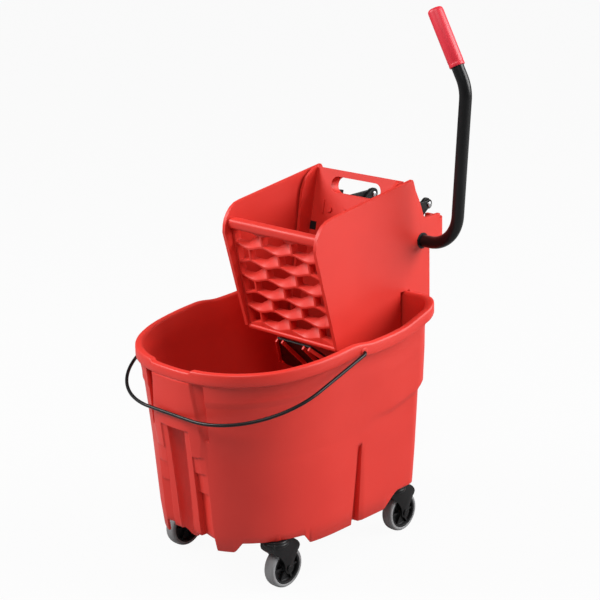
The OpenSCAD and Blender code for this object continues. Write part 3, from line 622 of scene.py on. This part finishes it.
inner_zs = [(392, 1), (382, 1), (372, 1), (360, 0.8), (350, 0.6), (338, 0.45),
            (325, 0.3), (312, 0.15)]
inner_zs += [(z, 0) for z in (
    302, 298, 295.5, 293, 288, 284, 280, 272, 262, 250, 242, 234, 228, 224, 218.5,
    213.5, 208, 202, 196, 187, 178, 165, 150, 135, 124, 118)]
for z, share in inner_zs:
    inner = wall_row(INSIDE, z, share, False)
    rows.append(clear_of(inner, wall_row(OUTSIDE, z, share, True), WALL))
foot = wall_row(OUTSIDE, 118, 0, True)
for z, more in ((114, 2.0), (112.4, 5.0), (112, 8.0)):
    x, y = outline(at_height(INSIDE, 116, more))
    bottom = np.stack([x, y, np.full(columns, float(z))], 1)
    rows.append(clear_of(bottom, foot, WALL + more))
print("rows", len(rows))

# %% The tub mesh
tub_points = np.concatenate(rows) * MM
tub_faces = []
for k in range(len(rows) - 1):
    low, high = k * columns, (k + 1) * columns
    for i in range(columns):
        j = (i + 1) % columns
        tub_faces.append((low + j, low + i, high + i, high + j))
tub_faces.append(tuple(range(columns)))
tub_faces.append(tuple((len(rows) - 1) * columns + i for i in reversed(range(columns))))
tub = tidy_normals(new_piece("tub_shell", tub_points, tub_faces))
print("tub points", len(tub_points))

# %% [markdown]
# ### Bosses and sockets
# The bail turns in a small boss on each side, and each caster stem sits in a
# socket under the tub. They are round, so a turned profile gives them exactly.

# %% Bail bosses and caster sockets on the tub
def lathe(name, profile, steps=48, ring=False):
    """A closed solid from (radius, height) points turned about Z, or a ring."""
    verts, faces = [], []
    for k in range(steps):
        turn = 2 * math.pi * k / steps
        verts += [(r * math.cos(turn) * MM, r * math.sin(turn) * MM, z * MM) for r, z in profile]
    n = len(profile)
    for k in range(steps):
        m = (k + 1) % steps
        for i in range(n if ring else n - 1):
            j = (i + 1) % n
            faces.append((k * n + i, m * n + i, m * n + j, k * n + j))
    if not ring:
        faces.append(tuple(k * n for k in reversed(range(steps))))
        faces.append(tuple(k * n + n - 1 for k in range(steps)))
    return tidy_normals(new_piece(name, verts, faces))


def moved(piece, matrix):
    piece.data.transform(matrix)
    return piece


def at(x, y, z):
    return Matrix.Translation((x * MM, y * MM, z * MM))


BAIL_X, BAIL_Z = 36.0, 407.0
extras = [tub]
for side in (-1, 1):
    boss = lathe("bail_boss", [(8.0, -9), (8.0, 0.8), (7.4, 1.7), (6.2, 2.0), (3.4, 2.0)])
    extras.append(moved(boss, at(BAIL_X, side * HALF_WIDTH, BAIL_Z)
                        @ Matrix.Rotation(math.radians(-90 * side), 4, "X")))
    for x, y in (FRONT_STEM, REAR_STEM):
        socket = lathe("stem_socket", [(9, 95.6), (14.6, 95.6), (15.5, 96.6), (15.5, 134),
                                       (14.6, 136.2), (12, 137)])
        extras.append(moved(socket, at(x, side * y, 0)))
tub = smooth(join("tub", extras), 50)
place(tub, "red_plastic", "bucket_tub")

# %% [markdown]
# ## Bent tube and bent wire
# The lever is one steel tube bent twice, and the bail is one bent wire. Both
# follow a rule: a round section along a path. A small Geometry Nodes tree
# makes them, with the radius and the number of sides as inputs. The path is a
# chain of straight runs and arcs, worked out in the script.

# %% Starting, ending and running a tree
def new_tree(name, **inputs):
    """A tree with these inputs and a finish, and its first and last nodes."""
    group = bpy.data.node_groups.new(name, "GeometryNodeTree")
    for label, kind in (("Geometry", "Geometry"), *inputs.items(), ("Finish", "Material")):
        group.interface.new_socket(label, in_out="INPUT", socket_type="NodeSocket" + kind)
    group.interface.new_socket("Geometry", in_out="OUTPUT", socket_type="NodeSocketGeometry")
    return group, group.nodes.new("NodeGroupInput"), group.nodes.new("NodeGroupOutput")


def vector_from(group, start, *labels):
    """A vector whose three parts are inputs of the tree."""
    made = group.nodes.new("ShaderNodeCombineXYZ")
    wire(group, *((start.outputs[label], made.inputs[k]) for k, label in enumerate(labels)))
    return made.outputs[0]


def end_tree(group, start, last, end):
    """Realizes what was made, gives it its finish and ends the tree."""
    real = group.nodes.new("GeometryNodeRealizeInstances")
    dress = group.nodes.new("GeometryNodeSetMaterial")
    wire(group, (last, real.inputs[0]),
         (real.outputs[0], dress.inputs["Geometry"]),
         (start.outputs["Finish"], dress.inputs["Material"]),
         (dress.outputs[0], end.inputs["Geometry"]))


def run_tree(piece, group, **values):
    """Puts a tree on a piece, sets its inputs and keeps the result as a mesh."""
    made = piece.modifiers.new(group.name, "NODES")
    made.node_group = group
    ids = {i.name: i.identifier for i in group.interface.items_tree if i.in_out == "INPUT"}
    for label, value in values.items():
        made[ids[label]] = value
    return settle(piece)


print("node groups before the first tree", len(bpy.data.node_groups))

# %% The bar tree and its path
bar, bar_in, bar_out = new_tree("bar_along_path", Radius="Float", Sides="Int")
to_curve = bar.nodes.new("GeometryNodeMeshToCurve")
ring = bar.nodes.new("GeometryNodeCurvePrimitiveCircle")
sweep = bar.nodes.new("GeometryNodeCurveToMesh")
sweep.inputs["Fill Caps"].default_value = True
shade = bar.nodes.new("GeometryNodeSetShadeSmooth")
wire(bar, (bar_in.outputs["Geometry"], to_curve.inputs[0]),
     (bar_in.outputs["Radius"], ring.inputs["Radius"]),
     (bar_in.outputs["Sides"], ring.inputs["Resolution"]),
     (to_curve.outputs[0], sweep.inputs["Curve"]),
     (ring.outputs[0], sweep.inputs["Profile Curve"]),
     (sweep.outputs[0], shade.inputs[0]))
end_tree(bar, bar_in, shade.outputs[0], bar_out)


def path_piece(name, points):
    """A chain of edges through points given in millimetres."""
    mesh = bpy.data.meshes.new(name)
    chain = [(i, i + 1) for i in range(len(points) - 1)]
    mesh.from_pydata([tuple(p * MM) for p in points], chain, [])
    return add_object(name, mesh)


def arc(centre, start, toward, degrees, steps=24):
    """Points of a turn that leaves from start, about a centre."""
    centre, spoke = Vector(centre), Vector(start) - Vector(centre)
    side = Vector(toward).normalized() * spoke.length
    turns = [math.radians(degrees) * k / steps for k in range(steps + 1)]
    return [centre + spoke * math.cos(t) + side * math.sin(t) for t in turns]


print("inputs of", bar.name, [i.name for i in bar.interface.items_tree])

# %% The lever tube
SHAFT_X, SHAFT_Z, SHAFT_END, LEVER_OUT = 290.0, 534.0, 119.5, 134.0
BEND, TILT, UPRIGHT, ELBOW, TURN, RISE_UP = 62.5, 4.35, 208.0, 70.0, 32.52, 414.0
TUBE_R, WIRE_R = 11.1, 3.0
tilt, lean_in = math.radians(TILT), math.radians(TURN - TILT)
along = Vector((0, -math.sin(tilt), math.cos(tilt)))
across = Vector((0, math.cos(tilt), math.sin(tilt)))
tip = Vector((0, math.sin(lean_in), math.cos(lean_in)))
bend = arc((SHAFT_X, -LEVER_OUT, SHAFT_Z + BEND), (SHAFT_X, -LEVER_OUT, SHAFT_Z),
           (0, -1, 0), 90 - TILT)
elbow_start = bend[-1] + along * UPRIGHT
elbow = arc(elbow_start + across * ELBOW, elbow_start, along, TURN, 14)
tip_len = (SHAFT_Z + RISE_UP - elbow[-1].z) / math.cos(lean_in)
top_end = elbow[-1] + tip * tip_len
lever_path = [Vector((SHAFT_X, SHAFT_END, SHAFT_Z))] + bend + elbow + [top_end]
lever = path_piece("lever_tube_bent", lever_path)
run_tree(lever, bar, Radius=TUBE_R * MM, Sides=40, Finish=FINISH["black_steel"])
place(tidy_normals(lever), "black_steel", "lever_tube")

# %% [markdown]
# ### Grip and end cap
# A soft sleeve is pushed over the top of the lever, and a plastic cap closes
# the far end of its shaft. Both are turned forms. The sleeve has one shallow
# groove near its mouth, which is part of the profile.

# %% Grip and cap
GRIP = 105.0
axis = Matrix.Translation(top_end * MM) @ tip.to_track_quat("Z", "Y").to_matrix().to_4x4()
mouth = [(11.3, 0), (13.0, 0), (13.9, 1.2), (13.9, 5), (13.5, 6), (13.5, 7.4), (13.9, 8.4)]
crown = [(13.9, -4), (13.5, -1.2), (12.4, 1.0), (10.4, 2.4), (7.0, 3.0), (0.01, 3.1)]
grip = lathe("hand_grip", [(r, z - GRIP) for r, z in mouth] + crown, 56)
place(smooth(moved(grip, axis), 50), "crimson_grip", "lever_grip")
cap = lathe("shaft_cap", [(10.5, 0), (13.2, 0), (14.0, 0.8), (14.0, 2.0), (13.0, 2.8),
                          (8.0, 3.4), (0.01, 3.6)], 48)
cap_frame = at(SHAFT_X, SHAFT_END, SHAFT_Z) @ Matrix.Rotation(math.radians(-90), 4, "X")
place(smooth(moved(cap, cap_frame), 50), "black_plastic", "shaft_end_cap")

# %% [markdown]
# ### The bail
# The carrying wire hooks into the bosses and hangs against the front wall. Half
# of its path is worked out lying flat, mirrored, and then swung down.

# %% The bail
REACH, ARM_Y, SEAT_Y, BAIL_BEND, HANG, HOOK = 277.0, 207.0, 187.3, 155.0, 17.5, 8.0
half_bail = [Vector((0, SEAT_Y, 0))]
half_bail += arc((-HOOK, ARM_Y - HOOK, 0), (0, ARM_Y - HOOK, 0), (0, 1, 0), 90, 10)
half_bail += arc((BAIL_BEND - REACH, ARM_Y - BAIL_BEND, 0), (BAIL_BEND - REACH, ARM_Y, 0),
                 (-1, 0, 0), 90, 40)
whole_bail = half_bail + [Vector((p.x, -p.y, p.z)) for p in reversed(half_bail)]
hang = math.radians(HANG)
bail_path = [Vector((BAIL_X + p.x * math.cos(hang), p.y, BAIL_Z + p.x * math.sin(hang)))
             for p in whole_bail]
bail = path_piece("bail_bent_wire", bail_path)
run_tree(bail, bar, Radius=WIRE_R * MM, Sides=20, Finish=FINISH["black_steel"])
place(tidy_normals(bail), "black_steel", "bail_wire")

# %% [markdown]
# ## The wringer frame
# The side plates, the rear saddle with its guard and the drain panel are flat
# mouldings with a constant thickness. Their solids already have the right
# outline, so a rounded copy is enough: merging the doubled corner points
# first lets the bevel run round each edge without a break.

# %% Side plates, saddle, drain and small fittings
place_copies(
    ("wringer_right_side", "side_plate_right", "red_plastic", 2.0),
    ("wringer_left_side", "side_plate_left", "red_plastic", 2.0),
    ("wringer_rear_saddle", "rear_saddle", "red_plastic", 1.6),
    ("drain_panel", "drain_plate", "black_plastic", 0.8),
    ("drain_ribs", "drain_plate_ribs", "red_plastic", 0.7),
    ("hinge_rod", "hinge_bar", "bright_steel", 0.6),
    ("rod_clips", "hinge_clips", "bright_steel", 0.5),
    ("shaft_bushes", "shaft_bearings", "black_plastic", 0.5))

# %% [markdown]
# ## The slotted grid
# The mop is pressed against a panel of scooped slots. Its ribs run in waves,
# and each row of slots is shifted by half a slot against the next. The panel
# is built as a lattice of front and rear lines: where a stretch is solid it
# gets a front and a rear face, and where it is open it gets the walls of a
# slot. Lifting the rear line inside a slot makes the sloping scoop.

# %% Lattice of the grid
GRID_X, GRID_Z, GRID_LEAN = 66.0, 384.0, math.radians(11)
GRID_DEEP, GRID_LEN, HALF_MOUTH = 14.0, 213.0, 108.0
WEB, RIB, WAVE, ROW_COUNT = 5.0, 4.6, 4.0, 6
CELL, FIRST, PITCH, UNDER, STATION = 73.0, 7.0, 31.1, 5.0, 2.6


def on_grid(x, y, z):
    return Vector((GRID_X + x * math.cos(GRID_LEAN) - z * math.sin(GRID_LEAN), y,
                   GRID_Z + x * math.sin(GRID_LEAN) + z * math.cos(GRID_LEAN))) * MM


def web_edges(row):
    """The solid stretches of a row, from side to side."""
    middles = (-CELL / 2, CELL / 2) if row % 2 else (-CELL, 0, CELL)
    inner = [(m - WEB / 2, m + WEB / 2) for m in middles]
    return [(-HALF_MOUTH, WEB - HALF_MOUTH)] + inner + [(HALF_MOUTH - WEB, HALF_MOUTH)]


def wave(y, k):
    return WAVE * math.cos(2 * math.pi * y / CELL + math.pi * k)


marks = set()
for row in (0, 1):
    for lo, hi in web_edges(row):
        marks |= {lo, hi}
marks = sorted(marks)
ys = []
for lo, hi in zip(marks, marks[1:]):
    steps = max(1, round((hi - lo) / STATION))
    ys += [lo + (hi - lo) * k / steps for k in range(steps)]
ys.append(marks[-1])
print("grid stations", len(ys))

# %% Lines of the grid, front and rear
def line_height(line, y):
    """Height of a rib edge: even lines are rib undersides, odd lines rib tops."""
    if line == 0:
        return -UNDER
    if line == 2 * ROW_COUNT + 1:
        return GRID_LEN - UNDER
    k = line // 2
    return FIRST + PITCH * k + wave(y, k) + (RIB / 2 if line % 2 else -RIB / 2)


def scoop(row, y):
    """How much of a full slot the rear line closes, growing across the slot."""
    edges = web_edges(row)
    for (_, low), (high, _) in zip(edges, edges[1:]):
        if low <= y <= high and high - low >= CELL / 2:
            share = (high - y) / (high - low)
            return float(np.interp(share, [0, 0.4, 0.7, 1], [0.0, 0.26, 0.60, 0.86]))
    return 0.0


def is_open(row, y):
    return not any(lo < y < hi for lo, hi in web_edges(row))


lines = 2 * ROW_COUNT + 2
verts, index = [], {}
for line in range(lines):
    for i, y in enumerate(ys):
        z = line_height(line, y)
        rear = z
        if line % 2 and line < lines - 1:
            rear = z + (line_height(line + 1, y) - z) * scoop(line // 2, y)
        index[0, line, i] = len(verts)
        verts.append(on_grid(0, y, z))
        index[1, line, i] = len(verts)
        verts.append(on_grid(GRID_DEEP, y, rear))
print("lattice points", len(verts))

# %% Faces of the grid
# corners as steps from a place: to the rear, to the next line, to the next station
FRONT_FACE = ((0, 0, 0), (0, 0, 1), (0, 1, 1), (0, 1, 0))
REAR_FACE = ((1, 0, 0), (1, 1, 0), (1, 1, 1), (1, 0, 1))
SLOT_FLOOR = ((0, 0, 0), (0, 0, 1), (1, 0, 1), (1, 0, 0))
SLOT_ROOF = ((0, 1, 0), (1, 1, 0), (1, 1, 1), (0, 1, 1))
SLOT_END = ((0, 0, 0), (1, 0, 0), (1, 1, 0), (0, 1, 0))
BESIDE = 0.015
faces = []


def add_face(corners, line, i):
    faces.append(tuple(index[rear, line + up, i + on] for rear, up, on in corners))


last = len(ys) - 1
for line in range(lines - 1):
    for i in range(last):
        if line % 2 == 0 or not is_open(line // 2, (ys[i] + ys[i + 1]) / 2):
            add_face(FRONT_FACE, line, i)
            add_face(REAR_FACE, line, i)
            continue
        add_face(SLOT_FLOOR, line, i)
        add_face(SLOT_ROOF, line, i)
        for k, step in ((i, -1), (i + 1, 1)):
            if not is_open(line // 2, ys[k] + step * BESIDE):
                add_face(SLOT_END, line, k)
    for k in (0, last):
        add_face(SLOT_END, line, k)
for i in range(last):
    add_face(SLOT_FLOOR, 0, i)
    add_face(SLOT_ROOF, lines - 2, i)
panel = tidy_normals(new_piece("slotted_panel", verts, faces))
round_edges(panel, 0.9, steps=2, angle=38)
settle(panel)
print("grid faces", len(faces))


# %% Rolled flanges at the top and bottom of the grid
def prism(name, lower, upper):
    """A solid between two outlines with the same number of points."""
    n = len(lower)
    sides = [(i, (i + 1) % n, n + (i + 1) % n, n + i) for i in range(n)]
    ends = [tuple(range(n)), tuple(range(n, 2 * n))]
    return tidy_normals(new_piece(name, lower + upper, sides + ends))


def strip(name, profile, half):
    """A bar along Y from a closed outline in the plane of the grid's side."""
    return prism(name, *([on_grid(x, y, z) for x, z in profile] for y in (-half, half)))


def round_box(x0, x1, z0, z1, r, steps=5):
    """The outline of a bar with round corners."""
    pts = []
    for cx, cz, a in ((x1 - r, z1 - r, 0), (x0 + r, z1 - r, 90),
                      (x0 + r, z0 + r, 180), (x1 - r, z0 + r, 270)):
        for k in range(steps + 1):
            t = math.radians(a + 90 * k / steps)
            pts.append((cx + r * math.cos(t), cz + r * math.sin(t)))
    return pts


top = strip("top_flange", round_box(-6, 12, 193, 213, 6.5), HALF_MOUTH)
low = strip("low_flange", round_box(-3, 15, -6, 3, 3.6), HALF_MOUTH)
grid = smooth(join("slotted_grid", [panel, top, low]), 40)
place(grid, "red_plastic", "wringer_front_grid")

# %% [markdown]
# ## The press plate and its linkage
# The plate hangs on a rod near the tub and leans back against two pairs of
# steel arms. Cranks on the lever shaft push links, and the links push lugs on
# a bracket bolted to the plate. All of these are cut and folded plates, so
# rounded copies serve again.

# %% Plate, bracket, cranks and links
place_copies(
    ("press_plate", "pressing_plate", "red_plastic", 1.4),
    ("plate_bracket", "link_bracket", "black_steel", 0.6),
    ("crank_right", "crank_arm_right", "black_steel", 0.8),
    ("crank_left", "crank_arm_left", "black_steel", 0.8),
    ("push_link_right", "link_arm_right", "black_steel", 0.8),
    ("push_link_left", "link_arm_left", "black_steel", 0.8))

# %% [markdown]
# ### Small forms on the plate
# The face of the plate carries a square pocket and an upright rib. They are
# only as large as a fingernail. The rib is a block set on the face. The pocket
# is not cut in: a thin black block on the face paints the shade inside it.

# %% Rib and painted pocket shade on the face of the plate
PLATE_Z = 575.0
PLATE_FACE = Vector((228, 0, PLATE_Z))
PLATE_OUT, PLATE_UP = Vector((-0.974, 0, 0.225)), Vector((0.225, 0, 0.974))
SUNK = 0.6


def on_plate(name, y0, y1, low, high, proud):
    """A small block on the front face of the plate, given by its heights."""
    corners = ((y0, low), (y1, low), (y1, high), (y0, high))
    return prism(name, *([
        (PLATE_FACE + PLATE_OUT * out + PLATE_UP * ((z - PLATE_Z) / PLATE_UP.z)
         + Vector((0, y, 0))) * MM for y, z in corners] for out in (proud, -SUNK)))


# painted shade: a thin black block on the face stands for the dark inside of the pocket
place(on_plate("plate_pocket", 84, 100, 536, 551, 0.3), "black_plastic", "press_plate")
place(on_plate("plate_rib", 70, 74, 569, 593, 1.6), "red_plastic", "press_plate")

# %% [markdown]
# ## Rivets, pins and bolts
# Rivets and pins repeat, so one Geometry Nodes tree makes their ends. It takes
# points that carry a direction, and sets a short shank with a domed head on
# each. The bar tree fills the length between. The bolts are rounded copies.

# %% A tree for headed pins
STEM_LENGTH = 0.004
pins, pins_in, pins_out = new_tree(
    "headed_pins", Shank="Float", Head="Float", Dome="Float", Sides="Int")
head = add_node(pins, "GeometryNodeMeshUVSphere", Segments=28, Rings=12, Radius=1.0)
size = vector_from(pins, pins_in, "Head", "Head", "Dome")
flat = pins.nodes.new("GeometryNodeTransform")
way = add_node(pins, "GeometryNodeInputNamedAttribute", Name="way")
way.data_type = "FLOAT_VECTOR"
aim = pins.nodes.new("FunctionNodeAlignRotationToVector")
sow = pins.nodes.new("GeometryNodeInstanceOnPoints")
soft = pins.nodes.new("GeometryNodeSetShadeSmooth")
stem = add_node(pins, "GeometryNodeMeshCylinder", Depth=STEM_LENGTH)
both = pins.nodes.new("GeometryNodeJoinGeometry")
wire(pins, (head.outputs["Mesh"], flat.inputs["Geometry"]),
     (size, flat.inputs["Scale"]),
     (way.outputs["Attribute"], aim.inputs["Vector"]),
     (pins_in.outputs["Sides"], stem.inputs["Vertices"]),
     (pins_in.outputs["Shank"], stem.inputs["Radius"]),
     (flat.outputs[0], soft.inputs[0]),
     (soft.outputs[0], both.inputs[0]),
     (stem.outputs["Mesh"], both.inputs[0]),
     (pins_in.outputs["Geometry"], sow.inputs["Points"]),
     (both.outputs[0], sow.inputs["Instance"]),
     (aim.outputs[0], sow.inputs["Rotation"]))
end_tree(pins, pins_in, sow.outputs[0], pins_out)


def heads(name, places, **sizes):
    """Headed pins at places that are given with their directions."""
    mesh = bpy.data.meshes.new(name)
    mesh.from_pydata([tuple(Vector(p) * MM) for p, _ in places], [], [])
    ways = mesh.attributes.new("way", "FLOAT_VECTOR", "POINT")
    for k, (_, w) in enumerate(places):
        ways.data[k].vector = w
    return run_tree(add_object(name, mesh), pins, **sizes)


print("inputs of", pins.name, [i.name for i in pins.interface.items_tree])

# %% Rivets of the cranks and pins of the links
PIN_R = 4.0


def pin_set(name, node, x, z, inner, outer, head, dome):
    """A pin on each side of the wringer, with a head at both of its ends."""
    shared = {"Sides": 24, "Finish": FINISH["bright_steel"]}
    spots = [((x, side * y, z), (0, side * way, 0))
             for side in (-1, 1) for y, way in ((inner, -1), (outer, 1))]
    parts = [heads(name + "_heads", spots, Shank=PIN_R * MM, Head=head * MM,
                   Dome=dome * MM, **shared)]
    for side in (-1, 1):
        core = path_piece(name + "_core", [Vector((x, side * y, z)) for y in (inner, outer)])
        parts.append(run_tree(core, bar, Radius=PIN_R * MM, **shared))
    place(smooth(tidy_normals(join(name, parts)), 40), "bright_steel", node)


pin_set("crank_rivet_set", "crank_rivets", 359, 582, 61.2, 74.2, head=5.6, dome=2.6)
pin_set("link_pin_set", "link_pins", 268, 582, 67.6, 79.6, head=7.0, dome=2.4)
place_copies(("bracket_bolts", "bracket_bolt_set", "bright_steel", 0.5))

# %% [markdown]
# ## Casters
# Each caster has a pressed fork under a round swivel head, a black hub and a
# grey tyre. The turned parts are lathed from a profile. The hub's spokes come
# from a Geometry Nodes tree, because they repeat round the axle.

# %% Spokes from a tree
spokes, spokes_in, spokes_out = new_tree(
    "spokes_round_axle", Count="Int", Inner="Float", Length="Float", Width="Float", Depth="Float")
circle = spokes.nodes.new("GeometryNodeMeshCircle")
block = spokes.nodes.new("GeometryNodeMeshCube")
block_size = vector_from(spokes, spokes_in, "Length", "Width", "Depth")
sow = spokes.nodes.new("GeometryNodeInstanceOnPoints")
spot = spokes.nodes.new("GeometryNodeInputPosition")
aim = spokes.nodes.new("FunctionNodeAlignRotationToVector")
aim.axis = "X"
wire(spokes, (spokes_in.outputs["Count"], circle.inputs["Vertices"]),
     (spokes_in.outputs["Inner"], circle.inputs["Radius"]),
     (block_size, block.inputs["Size"]),
     (circle.outputs[0], sow.inputs["Points"]),
     (block.outputs["Mesh"], sow.inputs["Instance"]),
     (spot.outputs[0], aim.inputs["Vector"]),
     (aim.outputs[0], sow.inputs["Rotation"]))
end_tree(spokes, spokes_in, sow.outputs[0], spokes_out)
print("inputs of", spokes.name, [i.name for i in spokes.interface.items_tree])

# %% Hub and tyre, set out from the stem
TRAIL, WHEEL_R, RIM_R = 16.0, 37.5, 30.0


def wheel_frame(x, y):
    return at(x + TRAIL, y, WHEEL_R) @ Matrix.Rotation(math.radians(90), 4, "X")


def make_hub(name, axle):
    """A disc with a boss and a rim, the same on both sides, and its spokes."""
    half = [(4.1, 12.5), (8.2, 12.5), (9.2, 11.8), (9.6, 4.6), (10.4, 3.4), (25.0, 3.4),
            (26.0, 4.4), (26.4, 9.6), (27.2, 10.5), (RIM_R, 10.5)]
    disc = lathe(name, [(r, -w) for r, w in half] + half[::-1], 56)
    seed = path_piece(name + "_spokes", [Vector((0, 0, 0)), Vector((0, 0, 1))])
    arms = run_tree(seed, spokes, Count=6, Inner=17.8 * MM, Length=17.6 * MM, Width=3.4 * MM,
                    Depth=16.0 * MM, Finish=FINISH["black_plastic"])
    return smooth(moved(join(name, [disc, arms]), axle), 40)


def make_tyre(name, axle):
    """A ring with round shoulders."""
    half = [(RIM_R, 10.4), (30.8, 11.0), (33.0, 11.0), (34.2, 10.7), (35.3, 9.9),
            (36.3, 8.6), (37.0, 6.6), (37.4, 4.2), (WHEEL_R, 1.8)]
    profile = [(r, -w) for r, w in half] + half[::-1]
    return smooth(moved(lathe(name, profile, 72, ring=True), axle), 60)


print("wheel", 2 * WHEEL_R, "mm over the tyre")

# %% [markdown]
# ### Forks
# A real fork is pressed from one sheet: two legs, and a hood that bridges them
# in front of and behind the wheel. The legs are flat outlines with a
# thickness. The hood follows the ends of the same outline, so it meets them.

# %% Fork, set out from the stem
LEG_Y, LEG_T, HOOD_T, HOOD_LAP, EYE_R = 13.0, 3.0, 2.6, 0.4, 9.8
HOOD_LEFT = [(-18, 92.5), (-20.6, 88), (-21.4, 83), (-19.6, 77), (-13.6, 71)]
HOOD_RIGHT = [(40.5, 67.5), (43, 72.5), (41.6, 77.5), (37.5, 83), (31.5, 88),
              (24.5, 91.2), (18, 92.5)]
EYE_TURNS = [math.radians(165 + 205 * k / 12) for k in range(13)]
LEG = HOOD_LEFT + [(-4.5, 63.5), (2.6, 54), (5.8, 46), (6.3, 41)]
LEG += [(TRAIL + EYE_R * math.cos(t), WHEEL_R + EYE_R * math.sin(t)) for t in EYE_TURNS]
LEG += [(27.0, 46), (32.0, 56), (37.0, 64)] + HOOD_RIGHT


def make_hood(name, edge):
    """A bent sheet between the legs, along one end of their outline."""
    points, faces = [], []
    for x, z in edge:
        shrink = 1 - HOOD_T / math.hypot(x - TRAIL, z - WHEEL_R)
        for f in (shrink, 1.0):
            points += [Vector((TRAIL + f * (x - TRAIL), y, WHEEL_R + f * (z - WHEEL_R))) * MM
                       for y in (-LEG_Y - HOOD_LAP, LEG_Y + HOOD_LAP)]
    for a in range(0, 4 * len(edge) - 4, 4):
        b = a + 4
        faces += [(a, a + 1, b + 1, b), (a + 2, b + 2, b + 3, a + 3), (a, b, b + 2, a + 2),
                  (a + 1, a + 3, b + 3, b + 1)]
    faces += [(0, 2, 3, 1), tuple(4 * len(edge) - j for j in (4, 3, 1, 2))]
    return tidy_normals(new_piece(name, points, faces))


def make_fork(name, x, y):
    parts = [lathe(name, [(8.2, 83.5), (21.5, 83.5), (22.8, 84.6), (23.2, 86.0), (23.2, 89.4),
                          (22.4, 90.6), (21.6, 91.0), (21.6, 93.4), (20.6, 94.6),
                          (12.0, 94.9), (8.2, 95)], 48)]
    for side in (-1, 1):
        faces_of_leg = ([Vector((px, side * (LEG_Y + d), pz)) * MM for px, pz in LEG]
                        for d in (0, LEG_T))
        parts.append(prism(name + "_leg", *faces_of_leg))
    parts += [make_hood(name + "_hood", edge) for edge in (HOOD_LEFT, HOOD_RIGHT)]
    fork = join(name, parts)
    round_edges(fork, 0.8, steps=2, angle=50)
    return smooth(moved(settle(fork), at(x, y, 0)), 40)


print("points of a leg", len(LEG))

# %% The four casters
CORNERS = {"fr": (FRONT_STEM, -1), "fl": (FRONT_STEM, 1),
           "rr": (REAR_STEM, -1), "rl": (REAR_STEM, 1)}
for corner, ((x, y), side) in CORNERS.items():
    axle = wheel_frame(x, side * y)
    place(make_hub("hub_" + corner, axle), "black_plastic", "wheel_hub_" + corner)
    place(make_tyre("tyre_" + corner, axle), "grey_rubber", "wheel_tyre_" + corner)
    place(make_fork("fork_" + corner, x, side * y), "black_steel", "caster_fork_" + corner)
    place_copies(("caster_stem_" + corner, "stem_" + corner, "bright_steel", 0.6),
                 ("wheel_axle_" + corner, "axle_" + corner, "black_steel", 0.8))

# %% [markdown]
# ## The dowels
# The dowels inside the wringer's joints stay as their solid, with the same
# steel as the other fasteners.

# %% Finish of the dowels
dowels = frame["nodes"]["frame_dowels"]
dowels.data.materials.clear()
dowels.data.materials.append(FINISH["bright_steel"])
